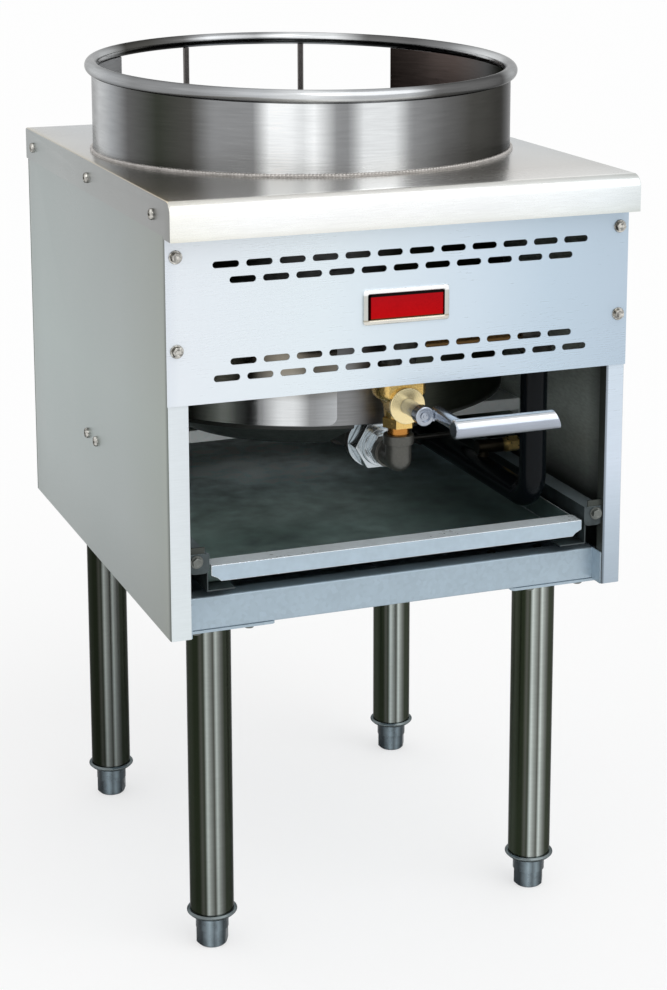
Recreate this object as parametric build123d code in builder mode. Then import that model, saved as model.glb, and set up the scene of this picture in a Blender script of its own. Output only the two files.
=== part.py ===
from build123d import *
import os
from math import cos, radians, sin

# Single-chamber gas wok range on four tubular legs: a sheet-metal cabinet with an open front,
# a round fire chamber under a collar with a rolled rim, a drip tray on runners, and a gas run
# with a lever valve.  Millimetres, +Z up, the floor at Z = 0, the middle of the cabinet at
# X = Y = 0, the front towards -Y.

os.makedirs("parts", exist_ok=True)

# ---------- driving dimensions: cabinet and deck ----------
sheet = 1.2                  # thickness of the cabinet's sheet metal
side_room = 16.0             # from the collar to the cabinet's side, on each side
front_room = 61.75           # from the collar to the side panels' front edge
rear_room = 28.25            # from the collar to their rear edge
panel_height = 391.8         # side panels, bottom edge to top
flange_width = 18.8          # front and rear flanges of the side panels
return_depth = 12.0          # their folded-back edges
top_flange_width = 12.0      # the flange under the deck
bend_radius = 2.0            # outside radius of a sheet bend
deck_overhang = 22.0         # nose in front of the side panels
deck_rear_overhang = 4.8
nose_radius = 12.0           # rounded front edge of the deck
nose_return = 12.0           # strip folded back under the nose
deck_side_drop = 31.7        # height of the deck's side and rear flanges
deck_front_drop = 33.8       # height of its front flange
front_panel_drop = 179.3     # height from the front panel's bottom to the deck's underside
front_panel_headroom = 5.8   # gap between the panels' top edges and the deck
front_return = 12.0          # strip folded back along the front panel's bottom edge
front_return_inset = 47.0    # how far that strip stops short of the panel's ends
clip_reach = 14.2            # side panels' clips for the runners, inside the flange
clip_rise = 6.0              # and above the runners

# ---------- driving dimensions: vent slots and name plate ----------
slot_length = 24.0
slot_height = 6.0
slot_pitch = 30.4
slot_row_gap = 14.0          # between the two rows of a band
slots_in_long_row = 12
upper_slot_drop = 57.8       # upper band's top row, below the deck's underside
lower_slot_rise = 21.5       # lower band's bottom row, above the panel's bottom edge
plate_length = 82.0
plate_height = 32.0
plate_rise = 73.5            # name plate centre above the front panel's bottom edge
bezel_border = 4.5
bezel_thickness = 3.0
insert_recess = 1.0          # the insert's face behind the bezel's

# ---------- driving dimensions: legs and feet ----------
leg_diameter = 41.3
leg_wall = 1.5
leg_length = 291.5
leg_inset_x = 56.0           # leg's centre inside the cabinet's side
leg_inset_y = 70.0           # and behind its front edge
ring_diameter = 47.4         # flange of the leg's bottom insert
ring_height = 5.0
ring_bevel = 2.5
insert_depth = 30.0          # how far the insert reaches up into the tube
foot_diameter = 31.0
foot_hex = 27.5              # across the flats of the foot's lower part
foot_hex_height = 17.0
foot_chamfer = 3.0
foot_height = 30.7
foot_seat_gap = 0.3
foot_stem_diameter = 16.0
foot_stem_length = 48.0
leg_plate_x = 95.0
leg_plate_y = 104.0
leg_plate_thickness = 2.5
plate_bolt_x = 50.0          # bolt spacing on a leg plate
plate_bolt_y = 86.0
plate_corner = 4.0

# ---------- driving dimensions: frame rails, base channels, tray and runners ----------
rail_setback = 18.0          # rail web behind the side panels' front edge
rail_height = 31.0
rail_lip = 18.0
channel_edge = 20.0
runner_rise = 40.6           # underside of the runners above the cabinet's bottom
runner_height = 35.6
runner_top_width = 17.2
runner_shelf = 26.2          # shelf that carries the tray
runner_end_inset = 4.0       # runner ends inside the side panels' front edges
tab_height = 18.2
tab_corner = 5.0
tab_bolt_drop = 6.5          # bolt below the runner's top
tray_gauge = 1.0
tray_side_gap = 5.0          # between the tray and each runner
tray_lip_overhang = 2.0      # of the lip past the tray's sides
tray_depth = 21.9
tray_lip_height = 15.0
tray_rim_width = 19.0        # flat rim between the front wall and the lip
tray_rear_gap = 20.0         # behind the tray, to the back panel
tray_rear_drop = 2.0         # rear wall below the rim, clear of the gas pipe
slide_gap = 0.3              # tray above the runners' shelves

# ---------- driving dimensions: collar, rim and fire chamber ----------
collar_radius = 205.0
collar_wall = 2.0
rim_centre_rise = 80.26      # rim centre above the deck
rim_tilt = 2.336             # degrees, rising to the rear
rim_outset = 0.2             # rim bar's centre line outside the collar's face
rim_bar = 12.7               # diameter of the rolled rim bar
sill_rise = 28.0             # rear window's lower edge above the deck
window_half_angle = 46.0
window_turn = 1.7            # middle of the window, from the rear towards +X
post_angle = 18.0            # posts on each side of that middle
post_diameter = 6.4
weld_leg = 3.0
weld_gap = 0.1               # between a post and the rim it is welded to
drum_step = 5.4              # from the collar's face in to the drum's
drum_flange = 7.9
bar_rise = 126.8             # cross bar's top above the cabinet's bottom
bowl_rise = 33.2             # drum's bottom edge above the cross bar
bowl_gauge = 2.0
bowl_edge = 3.0              # upright edge of the bowl under the drum
bowl_floor_radius = 133.0
bowl_hole_radius = 84.0
bowl_notch_width = 64.0
shield_gauge = 1.0
shield_gap = 0.4
shield_height = 108.0
shield_start_angle = -101.0  # degrees from +X
shield_sweep_angle = -114.0
shield_corner = 8.0
bar_depth = 76.0             # cross bar, front to back
bar_lead = 46.75             # its front edge ahead of the fire chamber's centre
bar_flange = 12.0
bar_tab = 18.0

# ---------- driving dimensions: gas run ----------
gas_x = 10.0                 # valve, elbow and mixing tube
gas_setback = 39.0           # valve axis behind the side panels' front edge
gas_rise = 6.0               # burner axis above the cross bar
burner_radius = 70.0
burner_height = 22.0
burner_wall = 6.0
burner_floor = 5.0
socket_wall = 4.0
socket_reach = 20.0          # inlet socket in front of the burner's wall
socket_depth = 14.0
cap_radius = 66.0
cap_height = 10.0
cap_wall = 6.0
port_diameter = 4.0
mixer_radius = 19.0
mixer_wall = 2.0
mouth_radius = 25.0
mouth_setback = 66.0         # mixing tube's mouth behind the valve's axis
mouth_flare = 24.0           # length of the bell mouth
mouth_edge = 5.0             # straight part of the bell mouth
shutter_gauge = 1.5
shutter_window = 6.0         # radius of the air windows
shutter_window_pitch = 16.5  # radius of the circle they lie on
spud_radius = 8.0
running_gap = 0.06           # radial, of a shaft in its bore
thread_gap = 0.1             # radial, of fixed pipe joints
spud_length = 12.0
spud_gap = 0.6               # radial, round the spud in the mixing tube's end plate
jet_radius = 1.6
hex_large = 42.0
hex_large_length = 17.0
step_radius = 18.0           # round step between the two hexagons
step_length = 7.0
hex_small = 27.0
hex_small_length = 8.0
tail_length = 10.0           # threaded tail into the elbow
elbow_radius = 12.0
elbow_collar_radius = 14.25
elbow_collar_height = 9.1
elbow_rise = 23.8            # elbow's top above the burner axis
elbow_bore = 7.0
nipple_radius = 10.0
nipple_bore = 6.5
nipple_seat = 8.0            # how far a nipple reaches into each fitting
lower_nipple = 7.4           # bare length of nipple below the valve
upper_nipple = 14.0
valve_height = 46.0
valve_hex = 27.0
valve_hex_height = 9.0
chest_radius = 24.5          # widest part of the valve body
chest_height = 12.0
waist_radius = 13.6
lever_rise = 23.5            # lever axis above the valve body's bottom
bonnet_radius = 17.0
bonnet_gauge = 4.0
bonnet_plug = 10.3           # part of the bonnet inside the valve body
bonnet_reach = 22.0          # bonnet face in front of the valve axis
stem_radius = 7.0
stem_reach = 38.0            # stem in front of the bonnet's face
hub_radius = 8.7
hub_depth = 11.0
arm_diameter = 12.7
arm_offset = 15.0            # arm beside the stem
arm_reach = 49.0             # arm in front of the hub's face
handle_diameter = 17.5
handle_length = 103.0
handle_overlap = 10.0        # of the handle's inner end past the arm
handle_tip_slope = 0.35      # lean of its slanted end
supply_radius = 12.7
supply_wall = 2.8
supply_inset = 74.0          # pipe's axis inside the cabinet's right side
supply_rise = 79.0           # rear run above the cabinet's bottom
supply_bend = 25.0
coupling_radius = 15.5
coupling_length = 30.0
coupling_setback = 185.0     # its middle in front of the side panels' rear edge
pipe_end_gap = 0.3           # between the two pipe ends in the coupling, each
inlet_reach = 76.0           # inlet's end behind the cabinet
inlet_thread_radius = 12.1
inlet_thread_length = 19.0
pipe_hole_gap = 0.6          # radial, round the pipe in the back panel
upper_run_rise = 56.5        # upper run above the lever's axis
manifold_radius = 10.6
manifold_wall = 2.6
manifold_start = 11.0        # pipe's ends beyond the axes of the two elbows
manifold_stop = 13.0
fitting_wall = 4.4           # of the two upper elbows' bodies, outside the pipe
fitting_reach = 20.0
fitting_collar = 8.0
thread_depth = 10.0          # from a fitting's mouth to its pipe's end
pilot_tube_radius = 2.5
pilot_gap = 6.4              # pilot burner's axis outside the burner's wall
pilot_angle = -53.92         # degrees from +X round the fire chamber's centre
pilot_rise = 22.0            # tap's axis above the supply pipe's
pilot_tap_setback = 111.0    # tap behind the valve's axis
pilot_tap_radius = 7.0
pilot_nut = 14.0             # across flats
pilot_nut_length = 12.0
pilot_nut_reach = 25.0       # nut beside the supply pipe
pilot_tube_reach = 28.0      # tube's first straight run beside the nut
pilot_turn = 12.0            # radius of the tube's bends
pilot_burner_radius = 5.0
pilot_burner_rise = 10.0     # its lower and upper ends above the cross bar
pilot_tip_rise = 28.0

# ---------- driving dimensions: fasteners ----------
screw_radius = 2.3
screw_hole = 2.6
screw_head = 5.0
screw_head_height = 3.8
screw_length = 9.0
bolt_radius = 2.5
bolt_hole = 2.8
bolt_flange = 6.0
bolt_hex = 8.0
bolt_head_height = 4.5
plate_bolt_length = 8.0
runner_bolt_length = 4.4     # shorter than the gap to the back panel
bolt_flange_height = 1.2
nut_height = 3.5
edge_screw_inset = 9.0       # of the front and rear panels' fasteners from the cabinet's side
deck_screw_drop = 17.0       # below the deck
deck_screw_inset = 30.0      # from the side panels' front and rear edges
bar_screw_drop = 6.8         # below the cross bar's top
bar_screw_inset = 21.4       # from the cross bar's front and rear edges
front_bolt_rise = 48.5       # lower front bolts above the front panel's bottom
front_bolt_pitch = 82.0
back_screw_inset = 38.0      # from the back panel's bottom and top
tab_bolt_gap = 0.3           # between a runner bolt's flange and the side panel's

# ---------- heights, from the floor up ----------
tube_bottom = foot_height + foot_seat_gap + ring_height
tube_top = tube_bottom + leg_length
cabinet_bottom = tube_top + leg_plate_thickness
panel_top = cabinet_bottom + panel_height
deck_top = panel_top + sheet
rail_top = cabinet_bottom + rail_height
runner_bottom = cabinet_bottom + runner_rise
runner_top = runner_bottom + runner_height
tray_bottom = runner_bottom + sheet + slide_gap
tray_rim = tray_bottom + tray_depth
bar_top = cabinet_bottom + bar_rise
drum_bottom = bar_top + bowl_rise
gas_z = bar_top + gas_rise
elbow_top = gas_z + elbow_rise
valve_bottom = elbow_top + lower_nipple
lever_z = valve_bottom + lever_rise
valve_top = valve_bottom + valve_height
upper_run_z = lever_z + upper_run_rise
supply_z = cabinet_bottom + supply_rise
front_panel_bottom = panel_top - front_panel_drop
front_panel_top = panel_top - front_panel_headroom
rim_z = deck_top + rim_centre_rise

# ---------- widths and depths ----------
cabinet_width = 2 * (collar_radius + side_room)
cabinet_depth = 2 * collar_radius + front_room + rear_room
well_y = (front_room - rear_room) / 2
side_x = cabinet_width / 2
front_y = cabinet_depth / 2
flange_x = side_x - flange_width
rim_radius = collar_radius + rim_outset
drum_radius = collar_radius - drum_step
drum_inner = drum_radius - sheet
bar_front = well_y - bar_lead
bar_rear = bar_front + bar_depth
gas_y = gas_setback - front_y
mouth_y = gas_y + mouth_setback
supply_x = side_x - supply_inset
coupling_y = front_y - coupling_setback
pilot_x = (burner_radius + pilot_gap) * cos(radians(pilot_angle))
pilot_y = well_y + (burner_radius + pilot_gap) * sin(radians(pilot_angle))
face_y = -front_y - sheet
edge_screw_x = side_x - edge_screw_inset

# Directions that a fastener's head can face, as rotations of a +Z head
TURN = {
    "up": (0, 0, 0),
    "down": (180, 0, 0),
    "front": (90, 0, 0),
    "rear": (-90, 0, 0),
    "right": (0, 90, 0),
    "left": (0, -90, 0),
}


def block(x_limits, y_limits, z_limits, mode=Mode.ADD):
    """A block in the part being built, given by its limits along X, Y and Z."""
    limits = (x_limits, y_limits, z_limits)
    centre = [sum(pair) / 2 for pair in limits]
    size = [abs(pair[1] - pair[0]) for pair in limits]
    with Locations(tuple(centre)):
        Box(*size, mode=mode)


def rod(start, facing, radius, length, mode=Mode.ADD):
    """A cylinder that starts at a point and runs the way it faces."""
    with Locations(Location(start, TURN[facing])):
        Cylinder(radius, length, align=(Align.CENTER, Align.CENTER, Align.MIN), mode=mode)


def hexagon(start, facing, across_flats, length):
    """A hexagonal prism that starts at a point and runs the way it faces."""
    across_corners = across_flats / cos(radians(30))
    with BuildSketch(Plane(Location(start, TURN[facing]))) as end_face:
        RegularPolygon(across_corners / 2, 6)
    extrude(end_face.sketch, amount=length)


def drill(points, facing, radius, length=20.0):
    """Holes through the part being built, centred on their points."""
    for point in points:
        with Locations(Location(point, TURN[facing])):
            Cylinder(radius, length, mode=Mode.SUBTRACT)


def save(part, name):
    """Label a finished piece and write it as a STEP file of the same name."""
    part.label = name
    export_step(part, f"parts/{name}.step")


# ---------- where the fasteners go ----------
deck_screw_z = deck_top - deck_screw_drop
deck_screws_y = (deck_screw_inset - front_y, 0.0, front_y - deck_screw_inset)
bar_screw_z = bar_top - bar_screw_drop
bar_screws_y = (bar_front + bar_screw_inset, bar_rear - bar_screw_inset)
lower_bolt_z = front_panel_bottom + front_bolt_rise
front_bolts_z = (lower_bolt_z, lower_bolt_z + front_bolt_pitch)
low_screw_z = cabinet_bottom + back_screw_inset
high_screw_z = front_panel_top - back_screw_inset
back_screws_z = (low_screw_z, (low_screw_z + high_screw_z) / 2, high_screw_z)
tab_bolt_x = flange_x - bolt_flange - tab_bolt_gap
tab_bolt_z = runner_top - tab_bolt_drop
tab_y = front_y - runner_end_inset
leg_centres = {
    f"{end}_{side}": (sx * (side_x - leg_inset_x), sy * (front_y - leg_inset_y))
    for end, sy in (("front", -1), ("rear", 1))
    for side, sx in (("left", -1), ("right", 1))
}
plate_bolts_xy = [
    (x + dx * plate_bolt_x / 2, y + dy * plate_bolt_y / 2)
    for x, y in leg_centres.values()
    for dx in (-1, 1)
    for dy in (-1, 1)
]

# ---------- side panels ----------
# Each is one sheet with a flange and a folded return along its front and rear edges, a narrow
# flange under the deck, and small clips that hold the tray runner's ends.
clip_x = flange_x - clip_reach
for side, s in (("left", -1), ("right", 1)):
    with BuildPart() as side_panel:
        block((s * side_x, s * (side_x - sheet)), (-front_y, front_y), (cabinet_bottom, panel_top))
        block(
            (s * side_x, s * (side_x - top_flange_width)),
            (-front_y, front_y),
            (panel_top - sheet, panel_top),
        )
        for end in (-1, 1):
            block(
                (s * side_x, s * flange_x),
                (end * front_y, end * (front_y - sheet)),
                (cabinet_bottom, panel_top),
            )
            block(
                (s * flange_x, s * (flange_x + sheet)),
                (end * front_y, end * (front_y - return_depth)),
                (cabinet_bottom, panel_top),
            )
            block(
                (s * clip_x, s * (flange_x + sheet)),
                (end * tab_y, end * (tab_y - sheet)),
                (runner_top - tab_height, runner_top + clip_rise),
            )
        corners = side_panel.edges().filter_by(Axis.Z)
        corners = corners.filter_by(lambda e: abs(abs(e.center().X) - side_x) < 0.01)
        top_edge = side_panel.edges().filter_by(Axis.Y).group_by(Axis.Z)[-1]
        top_edge = top_edge.filter_by(lambda e: abs(abs(e.center().X) - side_x) < 0.01)
        fillet(corners + top_edge, bend_radius)
        drill([(s * side_x, y, deck_screw_z) for y in deck_screws_y], "right", screw_hole)
        drill([(s * side_x, y, bar_screw_z) for y in bar_screws_y], "right", screw_hole)
        drill([(s * edge_screw_x, -front_y, z) for z in front_bolts_z], "rear", bolt_hole, 8)
        drill([(s * edge_screw_x, front_y, z) for z in back_screws_z], "rear", screw_hole, 8)
        drill([(s * tab_bolt_x, e * tab_y, tab_bolt_z) for e in (-1, 1)], "rear", bolt_hole, 8)
    save(side_panel.part, f"side_panel_{side}")

# ---------- deck ----------
# The top sheet: a rounded nose in front with a strip folded back under it, flanges down the
# sides and the rear outside the cabinet, and the round opening over the fire chamber.
deck_x = side_x + sheet
deck_front = -front_y - deck_overhang
deck_rear = front_y + deck_rear_overhang
nose_bottom = deck_top - deck_front_drop
deck_flange_bottom = deck_top - deck_side_drop

with BuildPart() as deck_hollow:
    block(
        (-side_x, side_x),
        (deck_front + sheet, deck_rear - sheet),
        (nose_bottom - sheet, panel_top),
    )
    inner_nose = deck_hollow.edges().filter_by(Axis.X).group_by(Axis.Z)[-1].sort_by(Axis.Y)[0]
    fillet(inner_nose, nose_radius - sheet)

with BuildPart() as deck:
    block((-deck_x, deck_x), (deck_front, deck_rear), (nose_bottom, deck_top))
    long_edges = deck.edges().filter_by(Axis.X).group_by(Axis.Z)[-1].sort_by(Axis.Y)
    fillet(long_edges[0], nose_radius)
    fillet(deck.edges().filter_by(Axis.X).group_by(Axis.Z)[-1].sort_by(Axis.Y)[-1], bend_radius)
    for end_face in (deck.faces().sort_by(Axis.X)[0], deck.faces().sort_by(Axis.X)[-1]):
        rounded = end_face.edges().filter_by(lambda e: e.center().Z > nose_bottom + 0.01)
        fillet(rounded, bend_radius * 0.9)
    add(deck_hollow.part, mode=Mode.SUBTRACT)
    block(
        (-side_x, side_x),
        (deck_front + sheet, deck_front + sheet + nose_return),
        (nose_bottom, nose_bottom + sheet),
    )
    block(
        (-deck_x - 1, deck_x + 1),
        (-front_y, deck_rear + 1),
        (nose_bottom - 1, deck_flange_bottom),
        mode=Mode.SUBTRACT,
    )
    rod((0, well_y, panel_top - 1), "up", drum_inner, sheet + 2, mode=Mode.SUBTRACT)
    for s in (-1, 1):
        drill([(s * deck_x, y, deck_screw_z) for y in deck_screws_y], "right", screw_hole)
save(deck.part, "deck")

# ---------- front panel ----------
# A flat sheet bolted over the side panels' flanges, with two bands of vent slots and a strip
# folded back along its bottom edge.
with BuildPart() as front_panel:
    block((-side_x, side_x), (face_y, -front_y), (front_panel_bottom, front_panel_top))
    block(
        (front_return_inset - side_x, side_x - front_return_inset),
        (-front_y, front_return - front_y),
        (front_panel_bottom, front_panel_bottom + sheet),
    )
    upper_row = panel_top - upper_slot_drop
    lower_row = front_panel_bottom + lower_slot_rise
    long_rows = (upper_row, lower_row)
    short_rows = (upper_row - slot_row_gap, lower_row + slot_row_gap)
    for rows, count in ((long_rows, slots_in_long_row), (short_rows, slots_in_long_row - 1)):
        for row in rows:
            with BuildSketch(Plane(origin=(0, face_y, row), z_dir=(0, 1, 0), x_dir=(1, 0, 0))):
                with GridLocations(slot_pitch, 1, count, 1):
                    SlotOverall(slot_length, slot_height)
            extrude(amount=sheet, mode=Mode.SUBTRACT)
    for s in (-1, 1):
        drill([(s * edge_screw_x, face_y, z) for z in front_bolts_z], "rear", bolt_hole, 8)
save(front_panel.part, "front_panel")

# ---------- back panel ----------
# The flat rear sheet, with a hole for the gas inlet pipe and two rows of vent slots.
with BuildPart() as back_panel:
    block((-side_x, side_x), (front_y, front_y + sheet), (cabinet_bottom, front_panel_top))
    for row in (upper_row, upper_row - slot_row_gap):
        with BuildSketch(Plane(origin=(0, front_y, row), z_dir=(0, 1, 0), x_dir=(1, 0, 0))):
            with GridLocations(slot_pitch, 1, slots_in_long_row - 2, 1):
                SlotOverall(slot_length, slot_height)
        extrude(amount=sheet, mode=Mode.SUBTRACT)
    drill([(supply_x, front_y, supply_z)], "rear", supply_radius + pipe_hole_gap, 8)
    for s in (-1, 1):
        drill([(s * edge_screw_x, front_y, z) for z in back_screws_z], "rear", screw_hole, 8)
save(back_panel.part, "back_panel")

# ---------- name plate ----------
# A bare red insert inside a bright raised bezel on the front panel.
plate_z = front_panel_bottom + plate_rise
plate_face = Plane(origin=(0, face_y, plate_z), z_dir=(0, -1, 0), x_dir=(1, 0, 0))
window_length = plate_length - 2 * bezel_border
window_height = plate_height - 2 * bezel_border

with BuildPart() as bezel:
    with BuildSketch(plate_face):
        RectangleRounded(plate_length, plate_height, 2.5)
        RectangleRounded(window_length, window_height, 1.0, mode=Mode.SUBTRACT)
    extrude(amount=bezel_thickness)
    bezel_front = bezel.faces().sort_by(Axis.Y)[0]
    chamfer(bezel_front.edges(), 1.0)
save(bezel.part, "nameplate_bezel")

with BuildPart() as insert:
    with BuildSketch(plate_face):
        RectangleRounded(window_length - 0.2, window_height - 0.2, 0.9)
    extrude(amount=bezel_thickness - insert_recess)
save(insert.part, "nameplate_insert")

# ---------- frame rails ----------
# Galvanised channels across the cabinet's bottom, front and rear, with end flanges that are
# spot-welded to the side panels' folded returns.
for name, end in (("front_rail", -1), ("rear_rail", 1)):
    with BuildPart() as rail:
        web_y = front_y - rail_setback
        block(
            (sheet - flange_x, flange_x - sheet),
            (end * web_y, end * (web_y - sheet)),
            (cabinet_bottom, rail_top),
        )
        for lip_z in (cabinet_bottom, rail_top - sheet):
            block(
                (sheet - flange_x, flange_x - sheet),
                (end * web_y, end * (web_y - rail_lip)),
                (lip_z, lip_z + sheet),
            )
        web_edges = rail.edges().filter_by(Axis.X)
        fillet(web_edges.filter_by(lambda e: abs(abs(e.center().Y) - web_y) < 0.01), bend_radius)
        for s in (-1, 1):
            block(
                (s * flange_x, s * (flange_x - sheet)),
                (end * (front_y - sheet), end * (web_y - sheet)),
                (cabinet_bottom, rail_top),
            )
        drill([(x, y, cabinet_bottom) for x, y in plate_bolts_xy if y * end > 0], "up", bolt_hole, 8)
    save(rail.part, name)

# ---------- base channels, leg plates and their bolts ----------
# Two galvanised channels meet along the middle and close the cabinet's bottom; the leg plates
# bolt up into them.
channel_end = front_y - rail_setback - rail_lip - 0.5
channel_outer = side_x - sheet
for side, s in (("left", -1), ("right", 1)):
    with BuildPart() as channel:
        block(
            (0, s * channel_outer),
            (-channel_end, channel_end),
            (cabinet_bottom, cabinet_bottom + sheet),
        )
        for x in (0, channel_outer - sheet):
            block(
                (s * x, s * (x + sheet)),
                (-channel_end, channel_end),
                (cabinet_bottom, cabinet_bottom + channel_edge),
            )
        drill([(x, y, cabinet_bottom) for x, y in plate_bolts_xy if x * s > 0], "up", bolt_hole, 8)
    save(channel.part, f"base_channel_{side}")

with BuildPart() as leg_plates:
    for x, y in leg_centres.values():
        block(
            (x - leg_plate_x / 2, x + leg_plate_x / 2),
            (y - leg_plate_y / 2, y + leg_plate_y / 2),
            (tube_top, cabinet_bottom),
        )
    fillet(leg_plates.edges().filter_by(Axis.Z), plate_corner)
    drill([(x, y, cabinet_bottom) for x, y in plate_bolts_xy], "up", bolt_hole, 12)
save(leg_plates.part, "leg_plates")

with BuildPart() as plate_bolt:
    rod((0, 0, -plate_bolt_length), "up", bolt_radius, plate_bolt_length)
    hexagon((0, 0, 0), "up", bolt_hex, nut_height)
    hexagon((0, 0, -leg_plate_thickness - sheet - nut_height), "up", bolt_hex, nut_height)

with BuildPart() as plate_bolts:
    for x, y in plate_bolts_xy:
        with Locations(Location((x, y, tube_top), TURN["down"])):
            add(plate_bolt.part)
save(plate_bolts.part, "leg_plate_bolts")

# ---------- legs, inserts and adjustable feet ----------
# Round tubes welded under the leg plates.  A flanged insert is pressed into each tube's lower
# end, and the foot's threaded stem turns in it.
leg_radius = leg_diameter / 2
ring_bottom = foot_height + foot_seat_gap
for place, (x, y) in leg_centres.items():
    with BuildPart() as leg:
        rod((x, y, tube_bottom), "up", leg_radius, leg_length)
        rod((x, y, tube_bottom), "up", leg_radius - leg_wall, leg_length, mode=Mode.SUBTRACT)
    save(leg.part, f"leg_{place}")

with BuildPart() as leg_inserts:
    for x, y in leg_centres.values():
        with BuildSketch(Plane(origin=(x, y, 0), x_dir=(1, 0, 0), z_dir=(0, -1, 0))):
            plug = leg_radius - leg_wall - thread_gap
            bore = foot_stem_diameter / 2 + running_gap
            ring = ring_diameter / 2
            with BuildLine():
                Polyline(
                    (bore, ring_bottom),
                    (ring - ring_bevel, ring_bottom),
                    (ring, ring_bottom + ring_bevel),
                    (ring, tube_bottom - 1.5),
                    (ring - 1.5, tube_bottom),
                    (plug, tube_bottom),
                    (plug, tube_bottom + insert_depth),
                    (bore, tube_bottom + insert_depth),
                    close=True,
                )
            make_face()
        revolve(axis=Axis((x, y, 0), (0, 0, 1)))
save(leg_inserts.part, "leg_inserts")

for place, (x, y) in leg_centres.items():
    with BuildPart() as foot:
        hexagon((x, y, 0), "up", foot_hex, foot_hex_height)
        with BuildSketch(Plane(origin=(x, y, 0), x_dir=(1, 0, 0), z_dir=(0, -1, 0))):
            with BuildLine():
                Polyline(
                    (0, 0),
                    (foot_diameter / 2 - foot_chamfer, 0),
                    (foot_diameter / 2, foot_chamfer),
                    (foot_diameter / 2, foot_height),
                    (0, foot_height),
                    close=True,
                )
            make_face()
        revolve(axis=Axis((x, y, 0), (0, 0, 1)), mode=Mode.INTERSECT)
        rod((x, y, foot_hex_height), "up", foot_diameter / 2, foot_height - foot_hex_height)
        rod((x, y, foot_height), "up", foot_stem_diameter / 2, foot_stem_length)
    save(foot.part, f"foot_{place}")

# ---------- drip tray and its runners ----------
# A shallow galvanised pan that slides out to the front on two Z-shaped runners.  Its rim runs
# forward over the rail and ends in a downturned lip with clipped corners.
lip_face = -tab_y
front_wall = lip_face + tray_rim_width
rear_wall = front_y - tray_rear_gap
half_tray = flange_x - runner_top_width - tray_side_gap
half_lip = half_tray + tray_lip_overhang
with BuildPart() as drip_tray:
    block((-half_tray, half_tray), (front_wall, rear_wall), (tray_bottom, tray_rim))
    fillet(drip_tray.edges().group_by(Axis.Z)[0], 2.0)
    block(
        (tray_gauge - half_tray, half_tray - tray_gauge),
        (front_wall + tray_gauge, rear_wall - tray_gauge),
        (tray_bottom + tray_gauge, tray_rim + 1),
        mode=Mode.SUBTRACT,
    )
    block(
        (-half_tray - 1, half_tray + 1),
        (rear_wall - 2 * tray_gauge, rear_wall + 1),
        (tray_rim - tray_rear_drop, tray_rim + 1),
        mode=Mode.SUBTRACT,
    )
    block((-half_lip, half_lip), (lip_face, front_wall), (tray_rim - tray_gauge, tray_rim))
    with BuildSketch(Plane(origin=(0, lip_face, tray_rim), x_dir=(1, 0, 0), z_dir=(0, -1, 0))):
        with BuildLine():
            Polyline(
                (-half_lip, 0),
                (-half_lip, 6 - tray_lip_height),
                (6 - half_lip, 3 - tray_lip_height),
                (9 - half_lip, -tray_lip_height),
                (half_lip - 9, -tray_lip_height),
                (half_lip - 6, 3 - tray_lip_height),
                (half_lip, 6 - tray_lip_height),
                (half_lip, 0),
                close=True,
            )
        make_face()
    extrude(amount=-tray_gauge)
save(drip_tray.part, "drip_tray")

runner_inner = flange_x - runner_top_width
for side, s in (("left", -1), ("right", 1)):
    with BuildPart() as runner:
        block(
            (s * runner_inner, s * (runner_inner + sheet)),
            (-tab_y, tab_y),
            (runner_bottom, runner_top),
        )
        block(
            (s * runner_inner, s * flange_x),
            (sheet - tab_y, tab_y - sheet - bolt_head_height - 1),
            (runner_top - sheet, runner_top),
        )
        block(
            (s * (runner_inner + sheet - runner_shelf), s * (runner_inner + sheet)),
            (-tab_y, tab_y),
            (runner_bottom, runner_bottom + sheet),
        )
        tab_width = runner_top_width + 1
        tab_centre = (s * (flange_x - tab_width / 2), 0, runner_top - tab_height / 2)
        for end in (-1, 1):
            outward = Plane(origin=tab_centre, x_dir=(-end, 0, 0), z_dir=(0, end, 0))
            with BuildSketch(outward.offset(tab_y)):
                Rectangle(tab_width, tab_height)
                fillet(vertices().group_by(Axis.Y)[0], tab_corner)
            extrude(amount=sheet)
        drill([(s * tab_bolt_x, e * tab_y, tab_bolt_z) for e in (-1, 1)], "rear", bolt_hole, 8)
    save(runner.part, f"tray_runner_{side}")

# ---------- fasteners ----------
with BuildPart() as screw:
    rod((0, 0, -screw_length), "up", screw_radius, screw_length)
    rod((0, 0, 0), "up", screw_head, screw_head_height)
    fillet(screw.edges().group_by(Axis.Z)[-1], 2.4)
    for turn in (0, 90):
        with Locations(Location((0, 0, screw_head_height), (0, 0, turn))):
            Box(5.0, 1.2, 3.0, mode=Mode.SUBTRACT)

with BuildPart() as flange_bolt:
    rod((0, 0, -screw_length), "up", bolt_radius, screw_length)
    rod((0, 0, 0), "up", bolt_flange, bolt_flange_height)
    hexagon((0, 0, bolt_flange_height), "up", bolt_hex, bolt_head_height - bolt_flange_height)

with BuildPart() as runner_bolt:
    rod((0, 0, -runner_bolt_length), "up", bolt_radius, runner_bolt_length)
    rod((0, 0, 0), "up", bolt_flange, bolt_flange_height)
    hexagon((0, 0, bolt_flange_height), "up", bolt_hex, bolt_head_height - bolt_flange_height)

with BuildPart() as deck_screws:
    for y in deck_screws_y:
        for s, facing in ((-1, "left"), (1, "right")):
            with Locations(Location((s * deck_x, y, deck_screw_z), TURN[facing])):
                add(screw.part)
save(deck_screws.part, "deck_screws")

with BuildPart() as bar_screws:
    for y in bar_screws_y:
        for s, facing in ((-1, "left"), (1, "right")):
            with Locations(Location((s * side_x, y, bar_screw_z), TURN[facing])):
                add(screw.part)
save(bar_screws.part, "cross_bar_screws")

with BuildPart() as back_screws:
    for z in back_screws_z:
        for s in (-1, 1):
            with Locations(Location((s * edge_screw_x, front_y + sheet, z), TURN["rear"])):
                add(screw.part)
save(back_screws.part, "back_panel_screws")

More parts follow.
